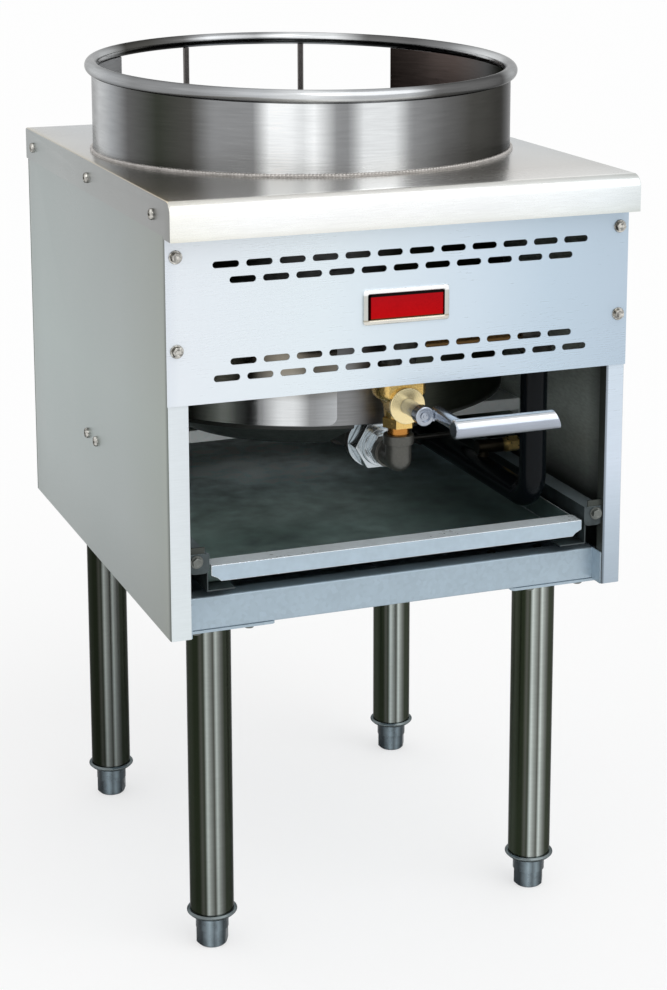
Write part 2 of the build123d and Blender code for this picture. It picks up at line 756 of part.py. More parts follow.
with BuildPart() as front_bolts:
    for z in front_bolts_z:
        for s in (-1, 1):
            with Locations(Location((s * edge_screw_x, face_y, z), TURN["front"])):
                add(flange_bolt.part)
save(front_bolts.part, "front_panel_bolts")

with BuildPart() as runner_bolts:
    for s in (-1, 1):
        for seat_y in (-tab_y - sheet, tab_y - sheet):
            with Locations(Location((s * tab_bolt_x, seat_y, tab_bolt_z), TURN["front"])):
                add(runner_bolt.part)
save(runner_bolts.part, "runner_bolts")

# ---------- collar and rim ----------
# A rolled wall welded to the deck around the opening.  Its top is cut on a plane that rises to
# the rear, under a bent round bar; at the rear a window is cut out and two posts bridge it.
tilt = radians(rim_tilt)
rim_plane = Plane(origin=(0, well_y, rim_z), x_dir=(1, 0, 0), z_dir=(0, -sin(tilt), cos(tilt)))
bar_radius = rim_bar / 2
sill_z = deck_top + sill_rise

with BuildPart() as collar:
    with BuildSketch(Plane.XY.offset(deck_top)):
        with Locations((0, well_y)):
            Circle(collar_radius)
            Circle(collar_radius - collar_wall, mode=Mode.SUBTRACT)
    extrude(amount=rim_centre_rise * 2)
    split(bisect_by=rim_plane.offset(-bar_radius), keep=Keep.BOTTOM)
    with BuildSketch(Plane(origin=(0, well_y, deck_top), x_dir=(1, 0, 0), z_dir=(0, -1, 0))):
        with BuildLine():
            Polyline(
                (collar_radius - 0.2, 0),
                (collar_radius + weld_leg, 0),
                (collar_radius - 0.2, weld_leg + 0.2),
                close=True,
            )
        make_face()
    revolve(axis=Axis((0, well_y, 0), (0, 0, 1)))
    with BuildSketch(Plane.XY.offset(sill_z)):
        right_edge = radians(window_turn + window_half_angle)
        left_edge = radians(window_turn - window_half_angle)
        reach = 2 * collar_radius
        with BuildLine():
            Polyline(
                (0, well_y),
                (reach * sin(right_edge), well_y + reach * cos(right_edge)),
                (reach * sin(left_edge), well_y + reach * cos(left_edge)),
                close=True,
            )
        make_face()
    extrude(amount=rim_centre_rise * 2, mode=Mode.SUBTRACT)
save(collar.part, "collar")

with BuildPart() as rim_ring:
    with Locations(rim_plane.location):
        Torus(rim_radius, bar_radius)
save(rim_ring.part, "rim_ring")

with BuildPart() as collar_posts:
    for s in (-1, 1):
        post_turn = radians(window_turn + s * post_angle)
        post_x = rim_radius * sin(post_turn)
        post_y = rim_radius * cos(post_turn)
        rim_underside = rim_z + post_y * sin(tilt) - bar_radius * cos(tilt) - weld_gap
        rod((post_x, well_y + post_y, sill_z), "up", post_diameter / 2, rim_underside - sill_z)
save(collar_posts.part, "collar_posts")

# ---------- fire chamber ----------
# The drum hangs from its flange under the deck; the black bowl closes it below, and a polished
# shield wraps its left side.
with BuildPart() as drum:
    rod((0, well_y, drum_bottom), "up", drum_radius, panel_top - drum_bottom)
    rod((0, well_y, panel_top - sheet), "up", drum_radius + drum_flange, sheet)
    rod((0, well_y, drum_bottom), "up", drum_inner, panel_top - drum_bottom, mode=Mode.SUBTRACT)
save(drum.part, "chamber_drum")

with BuildPart() as bowl:
    with BuildSketch(Plane(origin=(0, well_y, 0), x_dir=(1, 0, 0), z_dir=(0, -1, 0))):
        with BuildLine():
            Polyline(
                (drum_radius, drum_bottom),
                (drum_radius, drum_bottom - bowl_edge),
                (bowl_floor_radius, bar_top),
                (bowl_hole_radius, bar_top),
                (bowl_hole_radius, bar_top + bowl_gauge),
                (bowl_floor_radius - 0.5, bar_top + bowl_gauge),
                (drum_inner, drum_bottom),
                close=True,
            )
        make_face()
    revolve(axis=Axis((0, well_y, 0), (0, 0, 1)))
    block(
        (gas_x - bowl_notch_width / 2, gas_x + bowl_notch_width / 2),
        (well_y - 2 * drum_radius, well_y - bowl_hole_radius + 20),
        (bar_top - 1, drum_bottom),
        mode=Mode.SUBTRACT,
    )
save(bowl.part, "chamber_bowl")

with BuildPart() as shield:
    shield_inner = drum_radius + shield_gap
    shield_outer = shield_inner + shield_gauge
    with BuildSketch(Plane.XY.offset(drum_bottom + sheet)):
        with BuildLine():
            outer = CenterArc((0, well_y), shield_outer, shield_start_angle, shield_sweep_angle)
            inner = CenterArc((0, well_y), shield_inner, shield_start_angle, shield_sweep_angle)
            Line(outer @ 0, inner @ 0)
            Line(outer @ 1, inner @ 1)
        make_face()
    extrude(amount=shield_height)
    radial = shield.edges().filter_by(lambda e: abs(e.length - shield_gauge) < 0.01)
    fillet(radial.group_by(Axis.Z)[0], shield_corner)
save(shield.part, "heat_shield")

# ---------- cross bar ----------
# A galvanised channel from side to side under the chamber, screwed through the side panels.
with BuildPart() as cross_bar:
    bar_x = side_x - sheet
    block((-bar_x, bar_x), (bar_front, bar_rear), (bar_top - sheet, bar_top))
    for y in (bar_front, bar_rear - sheet):
        block((-bar_x, bar_x), (y, y + sheet), (bar_top - bar_flange, bar_top))
    for s in (-1, 1):
        block(
            (s * bar_x, s * (bar_x - sheet)),
            (bar_front, bar_rear),
            (bar_top - bar_tab, bar_top),
        )
        drill([(s * bar_x, y, bar_screw_z) for y in bar_screws_y], "right", screw_hole)
save(cross_bar.part, "cross_bar")

# ---------- burner ----------
# A cast-iron pan with a round inlet socket in front, closed by a ported cap.
burner_top = bar_top + burner_height
burner_front = well_y - burner_radius
socket_front = burner_front - socket_reach
socket_radius = mixer_radius + thread_gap
throat_half = mixer_radius - socket_wall
with BuildPart() as burner:
    rod((0, well_y, bar_top), "up", burner_radius, burner_height)
    rod(
        (0, well_y, bar_top + burner_floor),
        "up",
        burner_radius - burner_wall,
        burner_height,
        mode=Mode.SUBTRACT,
    )
    block(
        (gas_x - throat_half - burner_wall, gas_x + throat_half + burner_wall),
        (burner_front - burner_wall, burner_front + 2 * burner_wall),
        (bar_top, burner_top),
    )
    rod((gas_x, burner_front + 2, gas_z), "front", socket_radius + socket_wall, socket_reach + 2)
    rod((gas_x, socket_front, gas_z), "rear", socket_radius, socket_depth, mode=Mode.SUBTRACT)
    rod((gas_x, socket_front, gas_z), "rear", throat_half, socket_reach, mode=Mode.SUBTRACT)
    block(
        (gas_x - throat_half, gas_x + throat_half),
        (burner_front - 1, burner_front + 2 * burner_wall + 2),
        (bar_top + burner_floor, burner_top - socket_wall),
        mode=Mode.SUBTRACT,
    )
save(burner.part, "burner_head")

with BuildPart() as cap:
    rod((0, well_y, burner_top), "up", cap_radius, cap_height)
    fillet(cap.edges().group_by(Axis.Z)[-1], cap_height / 2)
    rod((0, well_y, burner_top), "up", cap_radius - cap_wall, cap_height - cap_wall, mode=Mode.SUBTRACT)
    for circle, count in ((54, 24), (36, 16), (18, 8)):
        with BuildSketch(Plane.XY.offset(burner_top)):
            with Locations((0, well_y)):
                with PolarLocations(circle, count):
                    Circle(port_diameter / 2)
        extrude(amount=cap_height + 1, mode=Mode.SUBTRACT)
save(cap.part, "burner_cap")

# ---------- mixing tube and air shutter ----------
# The tube's bell mouth is closed by a plate with four air windows; the shutter disc turns on
# the gas orifice in front of it to open or close them.
along_y = Plane(origin=(gas_x, 0, gas_z), x_dir=(0, 1, 0), z_dir=(1, 0, 0))
mixer_axis = Axis((gas_x, 0, gas_z), (0, 1, 0))
mixer_end = socket_front + socket_depth - 1
with BuildPart() as mixer:
    with BuildSketch(along_y):
        with BuildLine():
            Polyline(
                (mouth_y, spud_radius + spud_gap),
                (mouth_y, mouth_radius),
                (mouth_y + mouth_edge, mouth_radius),
                (mouth_y + mouth_flare, mixer_radius),
                (mixer_end, mixer_radius),
                (mixer_end, mixer_radius - mixer_wall),
                (mouth_y + mouth_flare, mixer_radius - mixer_wall),
                (mouth_y + mouth_edge, mouth_radius - mixer_wall),
                (mouth_y + mixer_wall, mouth_radius - mixer_wall),
                (mouth_y + mixer_wall, spud_radius + spud_gap),
                close=True,
            )
        make_face()
    revolve(axis=mixer_axis)
    with BuildSketch(Plane(origin=(gas_x, mouth_y, gas_z), x_dir=(1, 0, 0), z_dir=(0, 1, 0))):
        with PolarLocations(shutter_window_pitch, 4):
            Circle(shutter_window)
    extrude(amount=mixer_wall, mode=Mode.SUBTRACT)
save(mixer.part, "mixing_tube")

shutter_y = mouth_y - shutter_gauge - 0.8
with BuildPart() as shutter:
    with BuildSketch(Plane(origin=(gas_x, shutter_y, gas_z), x_dir=(1, 0, 0), z_dir=(0, 1, 0))):
        Circle(mouth_radius)
        with Locations((mouth_radius, 0)):
            RectangleRounded(12, 9, 2)
        Circle(spud_radius + running_gap, mode=Mode.SUBTRACT)
        with PolarLocations(shutter_window_pitch, 4):
            Circle(shutter_window, mode=Mode.SUBTRACT)
    extrude(amount=shutter_gauge)
save(shutter.part, "air_shutter")

# ---------- gas orifice, elbow, valve ----------
# From the valve down: a brass nipple, an iron elbow, and a plated orifice fitting that points
# to the rear, with a large hexagon, a stepped neck and the spud that carries the air shutter.
hex_front = shutter_y - 0.7
step_y = hex_front - hex_large_length
small_hex_y = step_y - step_length
tail_y = small_hex_y - hex_small_length
with BuildPart() as orifice:
    hexagon((gas_x, hex_front, gas_z), "front", hex_large, hex_large_length)
    rod((gas_x, step_y, gas_z), "front", step_radius, step_length)
    hexagon((gas_x, small_hex_y, gas_z), "front", hex_small, hex_small_length)
    rod((gas_x, tail_y, gas_z), "front", nipple_radius, tail_length)
    rod((gas_x, hex_front, gas_z), "rear", spud_radius, spud_length)
    rod((gas_x, mouth_y, gas_z), "front", jet_radius, mouth_y - gas_y, mode=Mode.SUBTRACT)
    rod((gas_x, mouth_y, gas_z), "rear", jet_radius, spud_length, mode=Mode.SUBTRACT)
save(orifice.part, "orifice_fitting")

elbow_mouth = tail_y - 0.4
socket_bore = nipple_radius + thread_gap
with BuildPart() as lower_elbow:
    rod((gas_x, gas_y, gas_z), "up", elbow_radius, elbow_rise)
    rod((gas_x, gas_y, gas_z), "rear", elbow_radius, elbow_mouth - gas_y)
    with Locations((gas_x, gas_y, gas_z)):
        Sphere(elbow_radius)
    rod((gas_x, gas_y, elbow_top - elbow_collar_height), "up", elbow_collar_radius, elbow_collar_height)
    rod((gas_x, elbow_mouth, gas_z), "front", elbow_collar_radius, elbow_collar_height)
    chamfer(lower_elbow.edges().group_by(Axis.Z)[-1], 0.8)
    rod((gas_x, gas_y, elbow_top), "down", socket_bore, thread_depth, mode=Mode.SUBTRACT)
    rod((gas_x, elbow_mouth, gas_z), "front", socket_bore, thread_depth, mode=Mode.SUBTRACT)
    rod((gas_x, gas_y, elbow_top), "down", elbow_bore, elbow_rise, mode=Mode.SUBTRACT)
    rod((gas_x, elbow_mouth, gas_z), "front", elbow_bore, elbow_mouth - gas_y, mode=Mode.SUBTRACT)
save(lower_elbow.part, "lower_elbow")

with BuildPart() as nipples:
    for low, high in ((elbow_top, valve_bottom), (valve_top, valve_top + upper_nipple)):
        rod((gas_x, gas_y, low - nipple_seat), "up", nipple_radius, high - low + 2 * nipple_seat)
        rod(
            (gas_x, gas_y, low - nipple_seat),
            "up",
            nipple_bore,
            high - low + 2 * nipple_seat,
            mode=Mode.SUBTRACT,
        )
save(nipples.part, "valve_nipples")

bonnet_y = gas_y - bonnet_reach
chest_bottom = valve_height - chest_height
waist_top = valve_hex_height + 4.0
with BuildPart() as valve_body:
    hexagon((gas_x, gas_y, valve_bottom), "up", valve_hex, valve_hex_height)
    with BuildSketch(Plane(origin=(gas_x, gas_y, valve_bottom), x_dir=(1, 0, 0), z_dir=(0, -1, 0))):
        with BuildLine():
            Polyline(
                (0, valve_hex_height - 1),
                (0, valve_height),
                (chest_radius - 1.5, valve_height),
                (chest_radius, valve_height - 2),
                (chest_radius, chest_bottom),
            )
            Spline(
                (chest_radius, chest_bottom),
                ((chest_radius + waist_radius) / 2 - 0.5, (chest_bottom + waist_top) / 2 + 2.5),
                (waist_radius, waist_top),
                tangents=((0, -1), (0, -1)),
            )
            Polyline(
                (waist_radius, waist_top),
                (waist_radius - 0.6, valve_hex_height - 1),
                (0, valve_hex_height - 1),
            )
        make_face()
    revolve(axis=Axis((gas_x, gas_y, 0), (0, 0, 1)))
    block(
        (gas_x - 2 * chest_radius, gas_x + 2 * chest_radius),
        (gas_y - 2 * chest_radius, bonnet_y + bonnet_gauge),
        (valve_bottom, valve_top),
        mode=Mode.SUBTRACT,
    )
    rod((gas_x, gas_y, lever_z), "front", bonnet_radius - 1.5, bonnet_reach - bonnet_gauge)
    rod((gas_x, gas_y, valve_bottom), "up", socket_bore, nipple_seat + 1, mode=Mode.SUBTRACT)
    rod((gas_x, gas_y, valve_top), "down", socket_bore, nipple_seat + 1, mode=Mode.SUBTRACT)
    rod((gas_x, gas_y, lever_z), "front", bonnet_plug + 0.2, bonnet_reach, mode=Mode.SUBTRACT)
    rod((gas_x, gas_y, valve_bottom), "up", nipple_bore, valve_height, mode=Mode.SUBTRACT)
save(valve_body.part, "valve_body")

with BuildPart() as bonnet:
    rod((gas_x, bonnet_y + bonnet_gauge, lever_z), "front", bonnet_radius, bonnet_gauge)
    chamfer(bonnet.edges().sort_by(Axis.Y)[0], 0.5)
    rod((gas_x, bonnet_y + bonnet_gauge, lever_z), "rear", bonnet_plug, 6)
    rod(
        (gas_x, bonnet_y - 1, lever_z),
        "rear",
        stem_radius + running_gap,
        bonnet_gauge + 8,
        mode=Mode.SUBTRACT,
    )
save(bonnet.part, "valve_bonnet")

# ---------- lever ----------
# A short stem carries a hub with a clamp screw; the arm reaches forward from the hub and a
# solid round handle crosses its end.
hub_face = bonnet_y - stem_reach - 2
hub_back = hub_face + hub_depth
stem_back = bonnet_y + bonnet_gauge + 7
arm_x = gas_x + arm_offset
arm_end = hub_face - arm_reach
neck_x = gas_x + hub_radius + 0.8
with BuildPart() as stem:
    rod((gas_x, stem_back, lever_z), "front", stem_radius, stem_back - hub_back)
save(stem.part, "lever_stem")

with BuildPart() as hub:
    rod((gas_x, hub_back, lever_z), "front", hub_radius, hub_depth)
    chamfer(hub.edges().sort_by(Axis.Y)[0], 0.8)
    block((gas_x, neck_x), (hub_face + 1, hub_back - 1), (lever_z - 5, lever_z + 5))
    rod((gas_x, hub_face, lever_z), "rear", 5.2, 2.4, mode=Mode.SUBTRACT)
save(hub.part, "lever_hub")

with BuildPart() as hub_screw:
    rod((gas_x, hub_face + 2.4, lever_z), "front", 3.6, 1.6)
    rod((gas_x, hub_face + 0.8, lever_z), "front", 1.8, 1.0)
save(hub_screw.part, "lever_screw")

with BuildPart() as arm:
    arm_radius = arm_diameter / 2
    handle_radius = handle_diameter / 2
    rod((arm_x, hub_back, lever_z), "front", arm_radius, hub_back - arm_end)
    chamfer(arm.edges().sort_by(Axis.Y)[-1], 1.5)
    block(
        (arm_x - arm_radius - 1, neck_x),
        (hub_face, hub_back + 1),
        (lever_z - arm_radius, lever_z + arm_radius),
        mode=Mode.SUBTRACT,
    )
    rod(
        (arm_x - handle_radius, arm_end, lever_z),
        "right",
        handle_radius + weld_gap,
        handle_diameter,
        mode=Mode.SUBTRACT,
    )
save(arm.part, "lever_arm")

with BuildPart() as handle:
    handle_start = arm_x - handle_overlap
    rod((handle_start, arm_end, lever_z), "right", handle_radius, handle_length)
    chamfer(handle.edges().group_by(Axis.X)[0], 1.2)
    tip = Plane(
        origin=(handle_start + handle_length, arm_end, lever_z),
        z_dir=(1, 0, handle_tip_slope),
        x_dir=(0, 1, 0),
    )
    split(bisect_by=tip.offset(-handle_radius * handle_tip_slope), keep=Keep.BOTTOM)
save(handle.part, "lever_handle")

# ---------- upper gas run and supply pipe ----------
# Behind the front panel the gas crosses from the right-hand corner to the valve.  The black
# supply pipe drops from that corner, turns tightly to the rear and ends in a coupling.
fitting_radius = manifold_radius + fitting_wall
thread_start = fitting_reach - thread_depth


def pipe_elbow(corner, first, second):
    """A two-way elbow fitting at a corner, with a collar round each mouth."""
    for facing in (first, second):
        rod(corner, facing, fitting_radius - 1.5, fitting_reach)
    with Locations(corner):
        Sphere(fitting_radius - 1.5)
    for facing in (first, second):
        mouth = Plane(Location(corner, TURN[facing])).offset(fitting_reach - fitting_collar)
        with Locations(mouth.location):
            Cylinder(fitting_radius + 1, fitting_collar, align=(Align.CENTER, Align.CENTER, Align.MIN))


with BuildPart() as upper_elbow:
    pipe_elbow((gas_x, gas_y, upper_run_z), "down", "right")
    rod((gas_x, gas_y, upper_run_z), "down", elbow_bore, fitting_reach, mode=Mode.SUBTRACT)
    rod((gas_x, gas_y, upper_run_z - thread_start), "down", socket_bore, fitting_reach, mode=Mode.SUBTRACT)
    bore = manifold_radius + thread_gap
    rod((gas_x, gas_y, upper_run_z), "right", elbow_bore, fitting_reach, mode=Mode.SUBTRACT)
    rod((gas_x + thread_start, gas_y, upper_run_z), "right", bore, fitting_reach, mode=Mode.SUBTRACT)
save(upper_elbow.part, "upper_elbow")

with BuildPart() as manifold:
    start = (gas_x + manifold_start, gas_y, upper_run_z)
    run = supply_x - gas_x - manifold_start - manifold_stop
    rod(start, "right", manifold_radius, run)
    rod(start, "right", manifold_radius - manifold_wall, run, mode=Mode.SUBTRACT)
save(manifold.part, "manifold_pipe")

with BuildPart() as corner_elbow:
    pipe_elbow((supply_x, gas_y, upper_run_z), "left", "down")
    bore = manifold_radius + thread_gap
    rod((supply_x, gas_y, upper_run_z), "left", elbow_bore, fitting_reach, mode=Mode.SUBTRACT)
    rod((supply_x - thread_start, gas_y, upper_run_z), "left", bore, fitting_reach, mode=Mode.SUBTRACT)
    bore = supply_radius + thread_gap
    rod((supply_x, gas_y, upper_run_z), "down", elbow_bore, fitting_reach, mode=Mode.SUBTRACT)
    rod((supply_x, gas_y, upper_run_z - thread_start), "down", bore, fitting_reach, mode=Mode.SUBTRACT)
save(corner_elbow.part, "corner_elbow")

pipe_top = upper_run_z - thread_start - 1.5
with BuildPart() as supply_pipe:
    with BuildLine():
        FilletPolyline(
            (supply_x, gas_y, pipe_top),
            (supply_x, gas_y, supply_z),
            (supply_x, coupling_y - pipe_end_gap, supply_z),
            radius=supply_bend,
        )
    with BuildSketch(Plane(origin=(supply_x, gas_y, pipe_top), z_dir=(0, 0, -1))):
        Circle(supply_radius)
        Circle(supply_radius - supply_wall, mode=Mode.SUBTRACT)
    sweep()
save(supply_pipe.part, "supply_pipe")

with BuildPart() as coupling:
    rod((supply_x, coupling_y - coupling_length / 2, supply_z), "rear", coupling_radius, coupling_length)
    chamfer(coupling.edges().filter_by(GeomType.CIRCLE), 1.2)
    rod(
        (supply_x, coupling_y - coupling_length / 2, supply_z),
        "rear",
        supply_radius + thread_gap,
        coupling_length,
        mode=Mode.SUBTRACT,
    )
save(coupling.part, "pipe_coupling")

inlet_end = front_y + inlet_reach
with BuildPart() as inlet:
    inlet_start = (supply_x, coupling_y + pipe_end_gap, supply_z)
    inlet_length = inlet_end - coupling_y - pipe_end_gap
    rod(inlet_start, "rear", supply_radius, inlet_length - inlet_thread_length)
    rod(inlet_start, "rear", inlet_thread_radius, inlet_length)
    chamfer(inlet.edges().group_by(Axis.Y)[-1], 0.8)
    rod(inlet_start, "rear", supply_radius - supply_wall, inlet_length, mode=Mode.SUBTRACT)
save(inlet.part, "inlet_pipe")

# ---------- pilot ----------
# A brass tap on the supply pipe feeds a thin tube that climbs to the pilot burner beside the
# main one.
tap_y = gas_y + pilot_tap_setback
tap_z = supply_z + pilot_rise
nut_x = supply_x + pilot_nut_reach
tap_start = supply_x - pilot_tap_radius
with BuildPart() as pilot_fitting:
    rod((supply_x, tap_y, supply_z + supply_radius), "up", 6.0, pilot_rise - supply_radius)
    rod((tap_start, tap_y, tap_z), "right", pilot_tap_radius, nut_x - tap_start + 2)
    hexagon((nut_x, tap_y, tap_z), "right", pilot_nut, pilot_nut_length)
    rod(
        (nut_x, tap_y, tap_z),
        "right",
        pilot_tube_radius + thread_gap,
        pilot_nut_length + 1,
        mode=Mode.SUBTRACT,
    )
save(pilot_fitting.part, "pilot_fitting")

pilot_burner_bottom = bar_top + pilot_burner_rise
with BuildPart() as pilot_tube:
    tube_start = (nut_x + 0.5, tap_y, tap_z)
    tube_corner = nut_x + pilot_tube_reach
    with BuildLine():
        FilletPolyline(
            tube_start,
            (tube_corner, tap_y, tap_z),
            (tube_corner, pilot_y, tap_z),
            (pilot_x, pilot_y, tap_z),
            (pilot_x, pilot_y, pilot_burner_bottom + 2),
            radius=pilot_turn,
        )
    with BuildSketch(Plane(origin=tube_start, z_dir=(1, 0, 0))):
        Circle(pilot_tube_radius)
    sweep()
save(pilot_tube.part, "pilot_tube")

with BuildPart() as pilot_burner:
    start = (pilot_x, pilot_y, pilot_burner_bottom)
    rod(start, "up", pilot_burner_radius, pilot_tip_rise - pilot_burner_rise)
    chamfer(pilot_burner.edges().group_by(Axis.Z)[-1], 1.0)
    rod(start, "up", pilot_tube_radius + thread_gap, 3, mode=Mode.SUBTRACT)
    rod((pilot_x, pilot_y, pilot_burner_bottom + 5), "up", 3.4, pilot_tip_rise, mode=Mode.SUBTRACT)
save(pilot_burner.part, "pilot_burner")
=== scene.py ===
from math import cos, pi, radians, sin, sqrt, tan

import bmesh
import bpy
from mathutils import Matrix, Vector


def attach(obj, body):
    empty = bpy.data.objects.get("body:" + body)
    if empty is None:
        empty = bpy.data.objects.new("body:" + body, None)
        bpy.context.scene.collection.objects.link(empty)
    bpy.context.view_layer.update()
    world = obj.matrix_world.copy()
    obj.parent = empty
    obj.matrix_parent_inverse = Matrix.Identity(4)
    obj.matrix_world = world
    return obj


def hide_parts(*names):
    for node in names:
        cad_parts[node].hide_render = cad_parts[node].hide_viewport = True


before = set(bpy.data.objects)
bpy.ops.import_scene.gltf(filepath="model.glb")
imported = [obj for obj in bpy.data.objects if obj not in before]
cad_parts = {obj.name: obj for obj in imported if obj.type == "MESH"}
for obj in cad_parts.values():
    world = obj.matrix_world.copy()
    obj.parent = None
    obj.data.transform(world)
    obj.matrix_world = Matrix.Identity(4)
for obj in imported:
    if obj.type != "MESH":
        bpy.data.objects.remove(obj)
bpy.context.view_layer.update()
scene = bpy.context.scene

# ---------- camera ----------
# A long lens from the front left.  It looks down on the range a little and is shifted down for
# the rest, so that the range's upright edges stay nearly parallel.
camera_data = bpy.data.cameras.new("camera")
camera_data.lens = 79.89
camera_data.sensor_width = 36.0
camera_data.shift_x = -0.0249
camera_data.shift_y = -0.215
camera_data.clip_end = 200.0
camera = bpy.data.objects.new("camera", camera_data)
scene.collection.objects.link(camera)
right = Vector((0.930516, -0.366252, 0.000612))
up = Vector((0.072028, 0.184635, 0.980164))
forward = Vector((0.3591, 0.912014, -0.198186))
turn = Matrix((right, up, -forward)).transposed().to_4x4()
eye = Vector((-0.73726, -2.00774, 1.02117))
camera.matrix_world = Matrix.Translation(eye) @ turn
scene.camera = camera
scene.view_settings.view_transform = "Standard"

# ---------- studio ----------
# A white studio: white wherever the camera or a polished surface looks past the floor, a
# softer level for plain light, and two wide suns, the stronger one from the front right.
world = bpy.data.worlds.new("studio")
world.use_nodes = True
scene.world = world
world_nodes = world.node_tree.nodes
world_link = world.node_tree.links.new
rays = world_nodes.new("ShaderNodeLightPath")
seen = world_nodes.new("ShaderNodeMath")
seen.operation = "MAXIMUM"
world_link(rays.outputs["Is Camera Ray"], seen.inputs[0])
world_link(rays.outputs["Is Glossy Ray"], seen.inputs[1])
clear = world_nodes.new("ShaderNodeMath")
clear.operation = "MAXIMUM"
world_link(seen.outputs[0], clear.inputs[0])
world_link(rays.outputs["Is Transmission Ray"], clear.inputs[1])
white_level = world_nodes.new("ShaderNodeMapRange")
white_level.inputs["To Min"].default_value = 0.8
white_level.inputs["To Max"].default_value = 1.0
world_link(clear.outputs[0], white_level.inputs["Value"])
world_link(white_level.outputs["Result"], world_nodes["Background"].inputs["Strength"])
world_nodes["Background"].inputs["Color"].default_value = (1.0, 1.0, 1.0, 1.0)

for name, strength, spread, towards in (
    ("key light", 0.9, 60, (-0.33, 0.70, -0.75)),
    ("fill light", 0.15, 60, (0.8, 0.45, -0.5)),
):
    lamp = bpy.data.lights.new(name, "SUN")
    lamp.energy = strength
    lamp.angle = radians(spread)
    lamp_object = bpy.data.objects.new(name, lamp)
    lamp_object.rotation_euler = Vector(towards).to_track_quat("-Z", "Y").to_euler()
    scene.collection.objects.link(lamp_object)

floor_reach = 40
floor_mesh = bpy.data.meshes.new("floor")
floor_corners = [
    (floor_reach * x, floor_reach * y, 0) for x, y in ((-1, -1), (1, -1), (1, 1), (-1, 1))
]
floor_mesh.from_pydata(floor_corners, [], [(0, 1, 2, 3)])
floor = bpy.data.objects.new("floor", floor_mesh)
scene.collection.objects.link(floor)
floor_paint = bpy.data.materials.new("floor paint")
floor_paint.use_nodes = True
floor_shader = floor_paint.node_tree.nodes["Principled BSDF"]
floor_shader.inputs["Base Color"].default_value = (0.95, 0.95, 0.95, 1.0)
floor_shader.inputs["Roughness"].default_value = 0.9
floor_shader.inputs["Specular IOR Level"].default_value = 0.0
floor_nodes = floor_paint.node_tree.nodes
floor_link = floor_paint.node_tree.links.new
floor_rays = floor_nodes.new("ShaderNodeLightPath")
lit_white = floor_nodes.new("ShaderNodeEmission")
white_share = floor_nodes.new("ShaderNodeMath")
white_share.operation = "MULTIPLY"
white_share.inputs[1].default_value = 0.6
floor_mix = floor_nodes.new("ShaderNodeMixShader")
floor_link(floor_rays.outputs["Is Camera Ray"], white_share.inputs[0])
floor_link(white_share.outputs[0], floor_mix.inputs["Fac"])
floor_link(floor_shader.outputs["BSDF"], floor_mix.inputs[1])
floor_link(lit_white.outputs["Emission"], floor_mix.inputs[2])
floor_link(floor_mix.outputs["Shader"], floor_nodes["Material Output"].inputs["Surface"])
floor_mesh.materials.append(floor_paint)

# ---------- side panels ----------
# One folded sheet of brushed stainless steel on each side, satin outside, with light and shade
# painted into its colour: a gradient along and up the outside, bright front flanges, and painted
# shade darkening the duller inside and the folded returns.  The shapes are the CAD sheets with
# their raw edges eased.


def along(tree, how, limits, stops):
    """A colour ramp along x, y or z, round an upright axis, or up from the rim's tilted plane."""
    new = tree.nodes.new
    link = tree.links.new
    place = new("ShaderNodeTexCoord")
    parts = new("ShaderNodeSeparateXYZ")
    value = parts.outputs["XYZ".find(how.upper())] if how in "xyz" else None
    if how == "round":
        shift = new("ShaderNodeVectorMath")
        shift.operation = "SUBTRACT"
        shift.inputs[1].default_value = (limits[0], limits[1], 0.0)
        link(place.outputs["Object"], shift.inputs[0])
        link(shift.outputs[0], parts.inputs[0])
        turn_round = new("ShaderNodeMath")
        turn_round.operation = "ARCTAN2"
        link(parts.outputs["Y"], turn_round.inputs[0])
        link(parts.outputs["X"], turn_round.inputs[1])
        value = turn_round.outputs[0]
        limits = (-pi, pi)
    else:
        link(place.outputs["Object"], parts.inputs[0])
    if how == "tilt":
        rim_tilt = radians(2.336)
        lift = new("ShaderNodeMath")
        lift.operation = "MULTIPLY_ADD"
        lift.inputs[1].default_value = -tan(rim_tilt)
        link(parts.outputs["Y"], lift.inputs[0])
        link(parts.outputs["Z"], lift.inputs[2])
        value = lift.outputs[0]
    spread = new("ShaderNodeMapRange")
    spread.inputs["From Min"].default_value = limits[0]
    spread.inputs["From Max"].default_value = limits[1]
    link(value, spread.inputs["Value"])
    ramp = new("ShaderNodeValToRGB")
    link(spread.outputs["Result"], ramp.inputs["Fac"])
    marks = ramp.color_ramp.elements
    last = len(stops) - 1
    for index, (at, tone) in enumerate(stops):
        where = (at - limits[0]) / (limits[1] - limits[0])
        if 0 < index < last:
            mark = marks.new(where)
        else:
            mark = marks[0 if index == 0 else -1]
            mark.position = where
        mark.color = (*tone, 1.0)
    return ramp.outputs["Color"]


